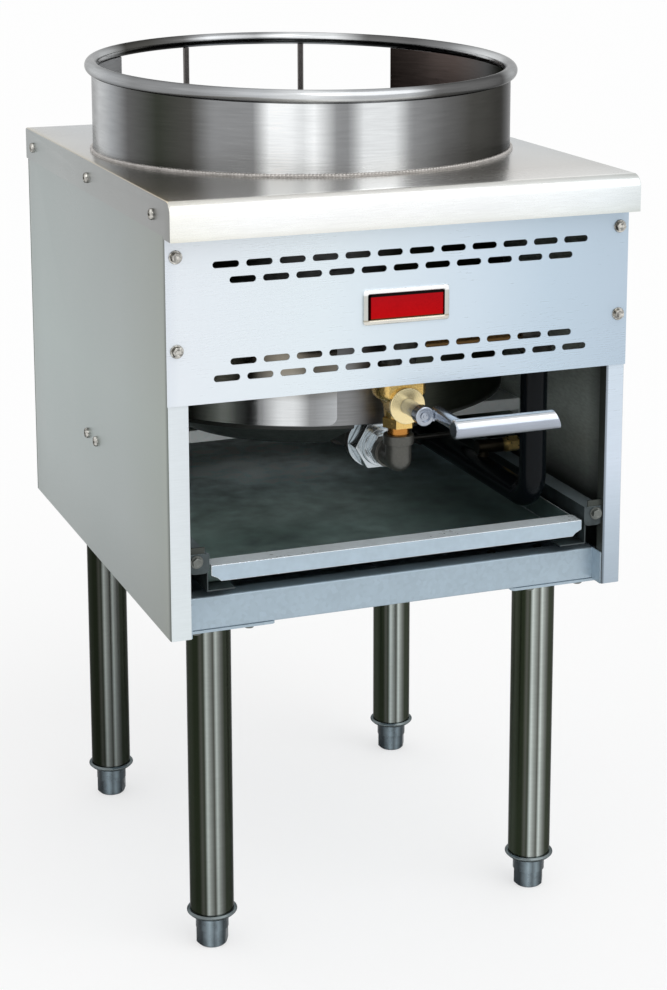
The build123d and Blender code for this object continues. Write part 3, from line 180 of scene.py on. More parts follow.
def metal(
    name,
    tone,
    metallic,
    rough,
    grain,
    wander,
    patch=7.0,
    dent=0.03,
    ramps=(),
    specular=0.5,
    edge_gloss=1.0,
    spangle=0.0,
):
    """A metal finish: a grain of fine lines or specks, slow patches of tone, uneven gloss, and
    ramps that paint light and shade into the colour.
    """
    noise_low, noise_high = 0.3, 0.7
    finish = bpy.data.materials.new(name)
    finish.use_nodes = True
    tree = finish.node_tree
    new = tree.nodes.new
    link = tree.links.new
    shader = tree.nodes["Principled BSDF"]
    shader.inputs["Metallic"].default_value = metallic
    shader.inputs["Specular IOR Level"].default_value = specular
    shader.inputs["Specular Tint"].default_value = (edge_gloss, edge_gloss, edge_gloss, 1.0)
    place = new("ShaderNodeTexCoord")
    stretch = new("ShaderNodeMapping")
    stretch.inputs["Scale"].default_value = grain
    link(place.outputs["Object"], stretch.inputs["Vector"])
    fine = new("ShaderNodeTexNoise")
    fine.inputs["Scale"].default_value = 18.0
    fine.inputs["Detail"].default_value = 5.0
    link(stretch.outputs["Vector"], fine.inputs["Vector"])
    slow = new("ShaderNodeTexNoise")
    slow.inputs["Scale"].default_value = patch
    slow.inputs["Detail"].default_value = 3.0
    link(place.outputs["Object"], slow.inputs["Vector"])
    both = new("ShaderNodeMix")
    both.inputs["Factor"].default_value = 0.55
    link(fine.outputs["Fac"], both.inputs["A"])
    link(slow.outputs["Fac"], both.inputs["B"])
    if spangle:
        crystal = new("ShaderNodeTexVoronoi")
        crystal.inputs["Scale"].default_value = spangle
        link(place.outputs["Object"], crystal.inputs["Vector"])
        link(crystal.outputs["Color"], both.inputs["A"])
    shade = new("ShaderNodeMapRange")
    shade.inputs["From Min"].default_value = noise_low
    shade.inputs["From Max"].default_value = noise_high
    shade.inputs["To Min"].default_value = 1.0 - wander
    shade.inputs["To Max"].default_value = 1.0 + wander
    link(both.outputs["Result"], shade.inputs["Value"])
    colour = new("ShaderNodeMix")
    colour.data_type = "RGBA"
    colour.blend_type = "MULTIPLY"
    colour.inputs["Factor"].default_value = 1.0
    colour.inputs[6].default_value = (*tone, 1.0)
    bands = [along(tree, *ramp) for ramp in ramps]
    while len(bands) > 1:
        blend = new("ShaderNodeMix")
        blend.data_type = "RGBA"
        blend.blend_type = "MULTIPLY"
        blend.inputs["Factor"].default_value = 1.0
        link(bands.pop(0), blend.inputs[6])
        link(bands.pop(0), blend.inputs[7])
        bands.insert(0, blend.outputs[2])
    if bands:
        link(bands[0], colour.inputs[6])
    link(shade.outputs["Result"], colour.inputs[7])
    link(colour.outputs[2], shader.inputs["Base Color"])
    gloss = new("ShaderNodeMapRange")
    gloss.inputs["From Min"].default_value = noise_low
    gloss.inputs["From Max"].default_value = noise_high
    gloss.inputs["To Min"].default_value = rough * 0.8
    gloss.inputs["To Max"].default_value = min(1.0, rough * 1.25)
    link(both.outputs["Result"], gloss.inputs["Value"])
    link(gloss.outputs["Result"], shader.inputs["Roughness"])
    bump = new("ShaderNodeBump")
    bump.inputs["Strength"].default_value = dent
    bump.inputs["Distance"].default_value = 0.002
    link(fine.outputs["Fac"], bump.inputs["Height"])
    link(bump.outputs["Normal"], shader.inputs["Normal"])
    return finish


def clean_copy(node, name, finishes, pick=None, ease=0.00025, worn=None):
    """The CAD shape of a node as a welded mesh with smooth curves and eased sharp edges."""
    same_point = 0.000003
    same_plane = 0.004
    sharp = radians(35)
    name = name.replace(" ", "-")
    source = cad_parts[node].data
    mesh = bpy.data.meshes.new(name)
    points = [v.co[:] for v in source.vertices]
    mesh.from_pydata(points, [], [p.vertices[:] for p in source.polygons])
    work = bmesh.new()
    work.from_mesh(mesh)
    bmesh.ops.remove_doubles(work, verts=work.verts, dist=same_point)
    bmesh.ops.dissolve_limit(work, angle_limit=same_plane, verts=work.verts, edges=work.edges)
    bmesh.ops.recalc_face_normals(work, faces=work.faces)
    for edge in work.edges:
        edge.smooth = len(edge.link_faces) == 2 and edge.calc_face_angle(0) < sharp
    for face in work.faces:
        face.smooth = True
        if pick:
            face.material_index = pick(face.calc_center_median(), face.normal)
    work.to_mesh(mesh)
    work.free()
    for finish in finishes:
        mesh.materials.append(finish)
    piece = bpy.data.objects.new(name, mesh)
    scene.collection.objects.link(piece)
    if ease:
        bevel = piece.modifiers.new("eased edges", "BEVEL")
        bevel.width = ease
        bevel.segments = 2
        bevel.limit_method = "ANGLE"
        bevel.angle_limit = sharp
        bevel.harden_normals = True
        # The eased edges can take a finish of their own, a painted highlight.
        if worn:
            mesh.materials.append(worn)
            bevel.material = len(finishes)
    return piece


def stand_in(piece, body, slot, *nodes):
    """Hang a finished piece on its body in place of CAD nodes."""
    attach(piece, body)
    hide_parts(*nodes)


def dress(node, name, slot, finishes, body="range_body", **shape):
    """Finish the shape of one CAD node and hang it on its body in the node's place."""
    stand_in(clean_copy(node, name, finishes, **shape), body, slot, node)


# Painted light on the outside: lighter up its middle, and a gradient along it with a dark line
# near the front edge.
side_painted_light_by_depth = (
    (-0.2505, (0.62, 0.62, 0.58)),
    (-0.2465, (0.50, 0.50, 0.47)),
    (-0.243, (0.95, 0.93, 0.86)),
    (-0.225, (0.92, 0.91, 0.86)),
    (-0.10, (1.0, 1.0, 1.0)),
    (0.20, (1.02, 1.06, 1.06)),
    (0.25, (0.94, 0.97, 0.97)),
)
side_painted_light_by_height = (
    (0.33, (0.25, 0.278, 0.272)),
    (0.40, (0.30, 0.335, 0.33)),
    (0.52, (0.315, 0.36, 0.35)),
    (0.66, (0.285, 0.318, 0.312)),
    (0.722, (0.27, 0.295, 0.29)),
)
side_satin = metal(
    "side satin",
    (0.30, 0.33, 0.32),
    metallic=0.75,
    rough=0.33,
    grain=(3, 3, 90),
    wander=0.07,
    patch=4.0,
    dent=0.02,
    ramps=[("z", (0.33, 0.722), side_painted_light_by_height), ("y", (-0.251, 0.251), side_painted_light_by_depth)],
)
# Painted light on the front flanges, far lighter than the outside; the right one is painted
# darker towards the bottom, with a painted shadow line along its inner edge.
flange_painted_light_by_height = {
    "left": (
        (0.33, (0.70, 0.76, 0.78)),
        (0.45, (0.70, 0.75, 0.78)),
        (0.72, (0.72, 0.78, 0.82)),
    ),
    "right": (
        (0.33, (0.38, 0.45, 0.52)),
        (0.38, (0.46, 0.54, 0.62)),
        (0.45, (0.63, 0.71, 0.81)),
        (0.54, (0.62, 0.71, 0.80)),
        (0.72, (0.62, 0.71, 0.80)),
    ),
}
flange_painted_shadow_line = {
    "left": ((-0.2215, -0.2015), ((-0.2215, (1.0, 1.0, 1.0)), (-0.2015, (0.98, 0.98, 0.98)))),
    "right": (
        (0.2015, 0.2215),
        (
            (0.2015, (0.32, 0.33, 0.34)),
            (0.2038, (0.42, 0.43, 0.44)),
            (0.2048, (1.0, 1.0, 1.0)),
            (0.2215, (1.0, 1.0, 1.0)),
        ),
    ),
}
# Painted shade on the insides: dark near the front and towards the bottom, most on the right.
inside_painted_shade_by_depth = (
    (-0.25, (0.20, 0.20, 0.20)),
    (-0.205, (0.28, 0.28, 0.28)),
    (-0.18, (0.95, 0.95, 0.95)),
    (0.25, (1.0, 1.0, 1.0)),
)
inside_painted_shade_by_height = {
    "left": ((0.33, (0.20, 0.21, 0.19)), (0.45, (0.34, 0.36, 0.32)), (0.722, (0.34, 0.36, 0.32))),
    "right": (
        (0.33, (0.05, 0.06, 0.055)),
        (0.398, (0.08, 0.09, 0.085)),
        (0.408, (0.22, 0.25, 0.24)),
        (0.43, (0.42, 0.47, 0.44)),
        (0.47, (0.58, 0.64, 0.60)),
        (0.722, (0.54, 0.60, 0.56)),
    ),
}
# Painted shade: one dark tone for the folded returns and for the front panel's back and bottom
# edge.
fold_shade = metal(
    "folded return",
    (0.045, 0.052, 0.046),
    metallic=0.5,
    rough=0.45,
    grain=(8, 8, 30),
    wander=0.30,
    patch=11.0,
    dent=0.04,
)


flange_face_y = -0.2495
return_end_x = 0.2038
return_end_y = -0.236
return_foot_z = 0.36
outer_face_x = 0.2185


def side_faces(centre, normal):
    """The front flange, its folded return, the outside or the inside."""
    if normal.y < -0.7 and centre.y < flange_face_y:
        return 1
    if abs(centre.x) < return_end_x and centre.y < return_end_y and centre.z > return_foot_z:
        return 3
    return 0 if abs(centre.x) > outer_face_x and normal.x * centre.x > 0 else 2


sheet_inside = {}
for side in ("left", "right"):
    node = f"side_panel_{side}"
    flange_satin_painted_light = metal(
        f"front flange {side}",
        (0.7, 0.76, 0.8),
        metallic=0.6,
        rough=0.3,
        grain=(3, 3, 60),
        wander=0.05,
        dent=0.02,
        ramps=[("z", (0.33, 0.722), flange_painted_light_by_height[side]), ("x", *flange_painted_shadow_line[side])],
    )
    sheet_inside[side] = metal(
        f"sheet inside {side}",
        (0.34, 0.36, 0.32),
        metallic=0.35,
        rough=0.40,
        grain=(8, 8, 30),
        wander=0.30,
        patch=11.0,
        dent=0.04,
        ramps=[("y", (-0.25, 0.25), inside_painted_shade_by_depth), ("z", (0.33, 0.722), inside_painted_shade_by_height[side])],
    )
    side_finishes = [side_satin, flange_satin_painted_light, sheet_inside[side], fold_shade]
    dress(node, f"side panel {side}", "brushed_stainless", side_finishes, pick=side_faces)

# ---------- deck ----------
# The top sheet of brushed stainless steel, folded to a rounded nose in front and screwed down
# through its side flanges.  Light is painted into its colour: a highlight along the nose, shade
# in the crease above it and towards its right end, the top lighter towards the front and the
# middle and warmer at its left end, and the sides darker towards the front.
deck_painted_light_by_depth = (
    (-0.272, (0.86, 0.885, 0.885)),
    (-0.2705, (0.97, 0.98, 0.98)),
    (-0.264, (0.96, 0.96, 0.95)),
    (-0.2605, (0.72, 0.71, 0.68)),
    (-0.256, (0.56, 0.55, 0.53)),
    (-0.2, (0.46, 0.445, 0.42)),
    (-0.05, (0.42, 0.43, 0.43)),
    (0.255, (0.43, 0.46, 0.48)),
)
deck_painted_light_across = (
    (-0.2225, (0.90, 0.78, 0.58)),
    (-0.214, (0.84, 0.80, 0.74)),
    (-0.18, (0.78, 0.77, 0.76)),
    (-0.10, (0.94, 0.94, 0.93)),
    (-0.02, (1.25, 1.26, 1.28)),
    (0.06, (1.15, 1.15, 1.15)),
    (0.12, (1.04, 1.04, 1.04)),
    (0.19, (1.02, 1.04, 1.05)),
    (0.2225, (0.90, 0.94, 0.96)),
)
deck_top = metal(
    "deck top",
    (0.5, 0.5, 0.5),
    metallic=0.9,
    rough=0.24,
    grain=(3, 50, 3),
    wander=0.09,
    ramps=[("y", (-0.273, 0.256), deck_painted_light_by_depth), ("x", (-0.223, 0.223), deck_painted_light_across)],
)
deck_side_painted_light = (
    (-0.272, (0.21, 0.215, 0.205)),
    (-0.25, (0.24, 0.245, 0.24)),
    (-0.10, (0.26, 0.27, 0.265)),
    (0.20, (0.29, 0.32, 0.315)),
    (0.255, (0.26, 0.28, 0.28)),
)
deck_side = metal(
    "deck side",
    (0.26, 0.28, 0.27),
    metallic=0.8,
    rough=0.33,
    grain=(3, 3, 90),
    wander=0.06,
    ramps=[("y", (-0.273, 0.256), deck_side_painted_light)],
)
nose_painted_highlight_by_height = (
    (0.689, (0.80, 0.80, 0.76)),
    (0.694, (0.90, 0.91, 0.89)),
    (0.702, (0.93, 0.94, 0.94)),
    (0.711, (0.98, 0.99, 0.99)),
    (0.7175, (0.96, 0.96, 0.95)),
    (0.7225, (0.60, 0.59, 0.56)),
)
nose_painted_light_across = (
    (-0.2225, (1.0, 0.99, 0.94)),
    (-0.15, (1.05, 1.05, 1.05)),
    (-0.02, (1.0, 1.0, 1.0)),
    (0.12, (0.96, 0.98, 0.99)),
    (0.19, (0.88, 0.92, 0.94)),
    (0.2225, (0.78, 0.82, 0.83)),
)
nose_satin = metal(
    "deck nose",
    (0.9, 0.9, 0.9),
    metallic=0.85,
    rough=0.26,
    grain=(3, 40, 40),
    wander=0.06,
    ramps=[("z", (0.689, 0.723), nose_painted_highlight_by_height), ("x", (-0.223, 0.223), nose_painted_light_across)],
)


def deck_faces(centre, normal):
    """The top, the dropped sides, the underside or the nose, by where a face looks."""
    inner_point = Vector((0.0, 0.0, 0.70))
    if (centre - inner_point).dot(normal) < 0:
        return 2
    if normal.y < -0.2:
        return 3
    return 1 if abs(normal.x) > 0.8 else 0


deck_finishes = [deck_top, deck_side, sheet_inside["right"], nose_satin]
dress("deck", "deck sheet", "brushed_stainless", deck_finishes, pick=deck_faces)

# ---------- front and back panels ----------
# The slotted front sheet is stainless steel, bolted to the side flanges; its colour is painted
# lightest at its left end and darker towards the right, as light.  The slotted back sheet is
# galvanised and screwed on.
front_painted_light = (
    (-0.221, (0.72, 0.77, 0.83)),
    (-0.21, (0.77, 0.82, 0.87)),
    (-0.08, (0.74, 0.82, 0.87)),
    (0.06, (0.62, 0.72, 0.81)),
    (0.14, (0.52, 0.63, 0.73)),
    (0.221, (0.47, 0.57, 0.67)),
)
front_satin = metal(
    "front satin",
    (0.7, 0.8, 0.85),
    metallic=0.6,
    rough=0.3,
    grain=(3, 3, 110),
    wander=0.012,
    dent=0.002,
    ramps=[("x", (-0.222, 0.222), front_painted_light)],
)


def front_faces(centre, normal):
    """The satin front, or the shaded back and bottom edge."""
    below_slots = 0.55
    bottom_edge = normal.z < -0.5 and centre.z < below_slots
    return 1 if normal.y > 0.5 or bottom_edge else 0


front_finishes = [front_satin, fold_shade]
dress("front_panel", "front panel", "brushed_stainless", front_finishes, pick=front_faces)

zinc = metal(
    "galvanised steel",
    (0.37, 0.46, 0.53),
    metallic=0.5,
    rough=0.36,
    grain=(10, 10, 10),
    wander=0.06,
    patch=24.0,
    dent=0.05,
    spangle=260.0,
)
# A darker copy of the galvanised finish for the back panel, its tone painted shade.
zinc_dark = metal(
    "galvanised steel, shaded",
    (0.24, 0.27, 0.25),
    metallic=0.4,
    rough=0.38,
    grain=(8, 8, 8),
    wander=0.30,
    patch=9.0,
    dent=0.05,
)
dress("back_panel", "back panel", "galvanised_steel", [zinc_dark])

# ---------- name plate ----------
# A chromed bezel, glued to the front panel, round a bare insert of metal painted red.  The bezel
# is painted light along its top and dark along its inner lip, as highlight and shadow, and the
# insert is painted dark round its edges, as shadow.
bezel_painted_light = (
    (0.5995, (0.72, 0.70, 0.64)),
    (0.6030, (0.72, 0.70, 0.64)),
    (0.6042, (0.40, 0.36, 0.28)),
    (0.6055, (0.60, 0.61, 0.58)),
    (0.6265, (0.60, 0.61, 0.58)),
    (0.6280, (1.0, 1.0, 1.0)),
    (0.6330, (1.0, 1.0, 1.0)),
)
chrome = metal(
    "bezel chrome",
    (0.66, 0.66, 0.65),
    metallic=1.0,
    rough=0.16,
    grain=(4, 4, 4),
    wander=0.08,
    dent=0.01,
    ramps=[("z", (0.5995, 0.6330), bezel_painted_light)],
)
red_painted_shade_by_height = (
    (0.6045, (0.10, 0.03, 0.01)),
    (0.6053, (0.10, 0.03, 0.01)),
    (0.6060, (0.50, 0.004, 0.006)),
    (0.6248, (0.40, 0.006, 0.010)),
    (0.6253, (0.008, 0.006, 0.006)),
    (0.6280, (0.008, 0.006, 0.006)),
)
red_painted_shade_across = (
    (-0.0370, (0.02, 0.02, 0.02)),
    (-0.0345, (0.02, 0.02, 0.02)),
    (-0.0338, (1.0, 1.0, 1.0)),
    (0.0346, (1.0, 1.0, 1.0)),
    (0.0352, (0.03, 0.03, 0.03)),
    (0.0370, (0.03, 0.03, 0.03)),
)
red = metal(
    "red insert",
    (0.50, 0.007, 0.012),
    metallic=0.8,
    rough=0.3,
    grain=(20, 20, 20),
    wander=0.12,
    patch=30.0,
    dent=0.01,
    specular=0.15,
    edge_gloss=0.3,
    ramps=[("z", (0.6045, 0.6280), red_painted_shade_by_height), ("x", (-0.0370, 0.0370), red_painted_shade_across)],
)
dress("nameplate_bezel", "name plate bezel", "bright_chrome", [chrome])
dress("nameplate_insert", "name plate insert", "red_plate", [red])

# ---------- base frame ----------
# Folded galvanised rails and channels, spot-welded inside the side panels, with the plates that
# carry the legs bolted up under the channels.
for node, name in (
    ("front_rail", "front rail"),
    ("rear_rail", "rear rail"),
    ("base_channel_left", "base channel left"),
    ("base_channel_right", "base channel right"),
    ("leg_plates", "leg plates"),
):
    dress(node, name, "galvanised_steel", [zinc])

# ---------- legs and feet ----------
# Polished stainless tubes, welded under the plates, with a satin flanged insert pressed in
# below; the cast feet screw up into the inserts.
# Levels of painted reflection, shared by the legs, the collar, the rim, the drum and the shield.
painted_shine = {
    "black": (0.018, 0.022, 0.014),
    "deep": (0.038, 0.042, 0.033),
    "dark": (0.072, 0.071, 0.066),
    "dim": (0.13, 0.13, 0.13),
    "satin": (0.26, 0.265, 0.27),
    "light": (0.46, 0.475, 0.49),
    "bright": (0.76, 0.78, 0.79),
    "white": (0.95, 0.97, 0.98),
}
leg_painted_reflections = (
    (-180, "deep"),
    (-166, "deep"),
    (-150, "black"),
    (-138, "black"),
    (-130, "dark"),
    (-122, "deep"),
    (-115, "light"),
    (-108, "satin"),
    (-97, "dark"),
    (-90, "light"),
    (-84, "satin"),
    (-76, "dim"),
    (-66, "deep"),
    (-38, "deep"),
    (-26, "dim"),
    (-14, "light"),
    (0, "dim"),
    (24, "deep"),
    (55, "satin"),
    (72, "light"),
    (90, "satin"),
    (115, "dark"),
    (138, "satin"),
    (152, "dark"),
    (180, "deep"),
)


def leg_finish(name, x, y, level):
    """Polished tube with the studio's long upright reflections painted in, a little olive in
    tone.
    """
    olive = (0.94 * level, level, 0.92 * level)
    stops = [
        (radians(at), [a * b for a, b in zip(painted_shine[band], olive)]) for at, band in leg_painted_reflections
    ]
    return metal(
        name,
        (0.1, 0.1, 0.1),
        metallic=1.0,
        rough=0.22,
        grain=(4, 4, 60),
        wander=0.12,
        dent=0.01,
        edge_gloss=0.5,
        ramps=[("round", (x, y), stops)],
    )


satin_ring = metal(
    "leg insert satin",
    (0.16, 0.185, 0.19),
    metallic=0.95,
    rough=0.26,
    grain=(5, 5, 60),
    wander=0.35,
    patch=60.0,
    edge_gloss=0.3,
)
foot_painted_light = (
    (-180, 0.25),
    (-152, 0.25),
    (-132, 1.0),
    (-116, 2.0),
    (-100, 0.8),
    (-86, 1.6),
    (-66, 0.4),
    (-35, 0.25),
    (10, 1.0),
    (60, 2.0),
    (110, 0.8),
    (180, 0.25),
)


def foot_finish(name, x, y):
    """Satin grey casting with painted highlights, painted darker where it turns away to the
    sides.
    """
    grey = (0.15, 0.185, 0.205)
    stops = [(radians(at), [level * part for part in grey]) for at, level in foot_painted_light]
    return metal(
        name,
        grey,
        metallic=0.85,
        rough=0.28,
        grain=(9, 9, 9),
        wander=0.20,
        patch=60.0,
        dent=0.06,
        ramps=[("round", (x, y), stops)],
    )


leg_x = 0.165
leg_y = 0.18
# Each leg's painted reflections are scaled to its own level of painted light.
for end, y, leg_painted_light_levels in (("front", -leg_y, (1.0, 1.35)), ("rear", leg_y, (0.7, 1.3))):
    for side, x, level in (("left", -leg_x, leg_painted_light_levels[0]), ("right", leg_x, leg_painted_light_levels[1])):
        steel = leg_finish(f"leg steel {end} {side}", x, y, level)
        dress(f"leg_{end}_{side}", f"leg {end} {side}", "leg_tube", [steel])
        foot = f"foot_{end}_{side}"
        grey = foot_finish(f"foot grey {end} {side}", x, y)
        dress(foot, f"foot {end} {side}", "foot_metal", [grey], body=foot, ease=0.0004)
dress("leg_inserts", "leg inserts", "leg_insert", [satin_ring], ease=0.0004)

# ---------- drip tray and runners ----------
# A folded galvanised pan, clean along its front lip and patchily stained inside, with painted
# shade darkening the pan towards the front and the right and a painted highlight on its upper
# edges.  It slides on two Z runners, painted light on top and dark as shade elsewhere, and bolted
# on at both ends.
tray_lip = metal(
    "tray lip",
    (0.42, 0.52, 0.60),
    metallic=0.5,
    rough=0.33,
    grain=(10, 10, 10),
    wander=0.08,
    patch=30.0,
    dent=0.04,
)
# Painted shade on the pan: darker towards the front and towards the right.
pan_painted_shade_by_depth = (
    (-0.228, (0.17, 0.235, 0.225)),
    (-0.12, (0.19, 0.265, 0.25)),
    (-0.075, (0.33, 0.43, 0.41)),
    (-0.03, (0.48, 0.60, 0.58)),
    (0.05, (0.85, 0.98, 1.0)),
    (0.228, (0.92, 1.0, 1.0)),
)
pan_painted_shade_across = (
    (-0.185, (0.95, 1.0, 0.98)),
    (0.02, (1.05, 1.05, 1.05)),
    (0.08, (0.62, 0.66, 0.66)),
    (0.14, (0.40, 0.45, 0.46)),
    (0.185, (0.60, 0.66, 0.68)),
)
tray_stained_and_shaded = metal(
    "tray inside, stained and shaded",
    (0.46, 0.60, 0.57),
    metallic=0.15,
    rough=0.34,
    grain=(3, 3, 3),
    wander=0.55,
    patch=10.0,
    dent=0.05,
    specular=0.4,
    ramps=[("y", (-0.228, 0.228), pan_painted_shade_by_depth), ("x", (-0.185, 0.185), pan_painted_shade_across)],
)
# The tray's upper edges are painted light, as a highlight.
tray_rim_highlight = metal(
    "tray rim, painted highlight",
    (0.80, 0.88, 0.92),
    metallic=0.3,
    rough=0.3,
    grain=(10, 10, 10),
    wander=0.10,
    patch=30.0,
    dent=0.04,
)
worn_zinc = metal(
    "zinc, painted edge highlight",
    (0.80, 0.86, 0.90),
    metallic=0.7,
    rough=0.25,
    grain=(10, 10, 10),
    wander=0.08,
)


tray_edge_z = 0.3934
tray_lip_y = -0.2275


def tray_faces(centre, normal):
    """The upper edge in painted highlight, the front lip, or the stained pan in painted shade."""
    if centre.z > tray_edge_z and normal.z > 0.5:
        return 2
    return 0 if centre.y < tray_lip_y else 1


dress(
    "drip_tray",
    "drip tray",
    "galvanised_steel",
    [tray_lip, tray_stained_and_shaded, tray_rim_highlight],
    body="drip_tray",
    pick=tray_faces,
    ease=0.0004,
    worn=worn_zinc,
)
# The runners' dark zinc is painted shade; their top flange is painted lighter, as light.
runner_painted_shade = metal(
    "runner zinc, soiled",
    (0.05, 0.064, 0.068),
    metallic=0.5,
    rough=0.35,
    grain=(8, 8, 8),
    wander=0.45,
    patch=40.0,
    dent=0.05,
)
runner_top_painted_light = metal(
    "runner zinc, rubbed",
    (0.22, 0.27, 0.29),
    metallic=0.4,
    rough=0.35,
    grain=(8, 8, 8),
    wander=0.25,
    patch=30.0,
    dent=0.04,
)


def runner_faces(centre, normal):
    """The top flange, painted lighter, or the rest, painted dark as shade."""
    runner_top_z = 0.4045
    return 1 if centre.z > runner_top_z and normal.z > 0.6 else 0


for side in ("left", "right"):
    dress(
        f"tray_runner_{side}",
        f"tray runner {side}",
        "galvanised_steel",
        [runner_painted_shade, runner_top_painted_light],
        pick=runner_faces,
    )

# ---------- fasteners ----------
# Zinc-plated steel: pan-head screws with a cross recess in the sides and back, flanged hexagon
# bolts in the front sheet and the runners, and bolts with nuts through the leg plates.
plated = metal(
    "plated fasteners",
    (0.46, 0.45, 0.42),
    metallic=1.0,
    rough=0.16,
    grain=(20, 20, 20),
    wander=0.95,
    patch=330.0,
    dent=0.03,
    edge_gloss=0.2,
)
# A duller copy for the runner and leg-plate bolts, darker as painted shade.
plated_dull_and_shaded = metal(
    "plated fasteners, dull and shaded",
    (0.16, 0.17, 0.16),
    metallic=0.9,
    rough=0.35,
    grain=(20, 20, 20),
    wander=0.2,
    patch=60.0,
    dent=0.05,
)


def sides_out(x):
    """Both sides of the cabinet, with the way a head faces there."""
    return ((-x, "left"), (x, "right"))


def shut_and_smooth(work, name):
    """Close the underside of a small head, turn its faces outward and keep its edges crisp."""
    same_point = 0.000002
    sharp = radians(30)
    open_edges = [edge for edge in work.edges if edge.is_boundary]
    bmesh.ops.edgeloop_fill(work, edges=open_edges)
    bmesh.ops.remove_doubles(work, verts=work.verts, dist=same_point)
    bmesh.ops.recalc_face_normals(work, faces=work.faces)
    for edge in work.edges:
        edge.smooth = edge.calc_face_angle(0) < sharp
    for face in work.faces:
        face.smooth = True
    mesh = bpy.data.meshes.new(name)
    work.to_mesh(mesh)
    work.free()
    return bpy.data.objects.new(name, mesh)


def pan_head(radius, height):
    """A pan head with a cross recess.  Its seat is at Z = 0 and it faces +Z."""
    slot_half, slot_reach, slot_depth = 0.15, 0.6, 0.5
    half = (1.0, 0.9, 0.72, 0.62, 0.56, 0.36, 0.19, 0.13)
    lines = [-at for at in half] + [0.0] + list(reversed(half))
    work = bmesh.new()
    rows = []
    for t in lines:
        row = []
        for s in lines:
            x = s * sqrt(1 - t * t / 2)
            y = t * sqrt(1 - s * s / 2)
            rise = 0.45 + 0.55 * sqrt(max(0.0, 1 - (x * x + y * y) ** 2))
            if min(abs(s), abs(t)) < slot_half and max(abs(s), abs(t)) < slot_reach:
                rise -= slot_depth
            row.append(work.verts.new((radius * x, radius * y, height * rise)))
        rows.append(row)
    for low, high in zip(rows, rows[1:]):
        for k in range(len(lines) - 1):
            work.faces.new((low[k], low[k + 1], high[k + 1], high[k]))
    foot = {}
    for edge in [edge for edge in work.edges if edge.is_boundary]:
        for vert in edge.verts:
            if vert not in foot:
                foot[vert] = work.verts.new((vert.co.x, vert.co.y, 0.0))
        start, end = edge.verts
        work.faces.new((end, foot[end], foot[start], start))
    return shut_and_smooth(work, "pan-head")


def hexagon_head(across_flats, height, flange_radius, flange_height, bore=0.0):
    """A chamfered hexagon on a round flange.  Its seat is at Z = 0 and it faces +Z."""
    steps = 48
    flat = across_flats / 2
    crown = flat * 0.97
    chamfer = tan(radians(30))
    work = bmesh.new()
    rings = []
    for k in range(8):
        ring = []
        for step in range(steps):
            turned = 2 * pi * step / steps
            corner = flat / cos((turned + pi / 6) % (pi / 3) - pi / 6)
            chamfered = height - (corner - crown) * chamfer
            out, up_to = (
                (flange_radius, 0.0),
                (flange_radius, flange_height * 0.6),
                (flange_radius * 0.95, flange_height),
                (corner, flange_height),
                (corner, chamfered),
                (crown, height),
                (max(bore, flat * 0.62), height),
                (max(bore, flat * 0.55) * 0.98, height - 0.0003),
            )[k]
            ring.append(work.verts.new((out * cos(turned), out * sin(turned), up_to)))
        rings.append(ring)
    for low, high in zip(rings, rings[1:]):
        for step in range(steps):
            after = (step + 1) % steps
            work.faces.new((low[step], low[after], high[after], high[step]))
    return shut_and_smooth(work, "hexagon-head")


def new_tree(name, result, *inputs):
    """A tree of geometry nodes with named inputs and one result."""
    tree = bpy.data.node_groups.new(name, "GeometryNodeTree")
    for label, kind in inputs:
        tree.interface.new_socket(label, in_out="INPUT", socket_type=f"NodeSocket{kind}")
    tree.interface.new_socket(result, in_out="OUTPUT", socket_type="NodeSocketGeometry")
    return tree


def wire(tree, *wires):
    """Join nodes: each wire says from which node and socket to which node and socket."""
    for source, outlet, target, inlet in wires:
        tree.links.new(source.outputs[outlet], target.inputs[inlet])


placing = new_tree(
    "fasteners in their holes",
    "Fasteners",
    ("Holes", "Geometry"),
    ("Fastener", "Object"),
    ("Size", "Float"),
    ("Last turn", "Float"),
    ("Seed", "Int"),
    ("Finish", "Material"),
)
given = placing.nodes.new("NodeGroupInput")
facing = placing.nodes.new("GeometryNodeInputNamedAttribute")
facing.data_type = "FLOAT_VECTOR"
facing.inputs["Name"].default_value = "facing"
head = placing.nodes.new("GeometryNodeObjectInfo")
driven = placing.nodes.new("GeometryNodeInstanceOnPoints")
chance = placing.nodes.new("FunctionNodeRandomValue")
about_axis = placing.nodes.new("ShaderNodeCombineXYZ")
last_turn = placing.nodes.new("GeometryNodeRotateInstances")
solid = placing.nodes.new("GeometryNodeRealizeInstances")
coated = placing.nodes.new("GeometryNodeSetMaterial")
made = placing.nodes.new("NodeGroupOutput")
wire(
    placing,
    (given, "Holes", driven, "Points"),
    (given, "Fastener", head, "Object"),
    (head, "Geometry", driven, "Instance"),
    (facing, "Attribute", driven, "Rotation"),
    (given, "Size", driven, "Scale"),
    (given, "Last turn", chance, 3),
    (given, "Seed", chance, "Seed"),
    (chance, 1, about_axis, "Z"),
    (driven, "Instances", last_turn, "Instances"),
    (about_axis, "Vector", last_turn, "Rotation"),
    (last_turn, "Instances", solid, "Geometry"),
    (solid, "Geometry", coated, "Geometry"),
    (given, "Finish", coated, "Material"),
    (coated, "Geometry", made, "Fasteners"),
)
facing_turns = {
    "up": (0.0, 0.0, 0.0),
    "down": (pi, 0.0, 0.0),
    "front": (pi / 2, 0.0, 0.0),
    "rear": (-pi / 2, 0.0, 0.0),
    "right": (0.0, pi / 2, 0.0),
    "left": (0.0, -pi / 2, 0.0),
}


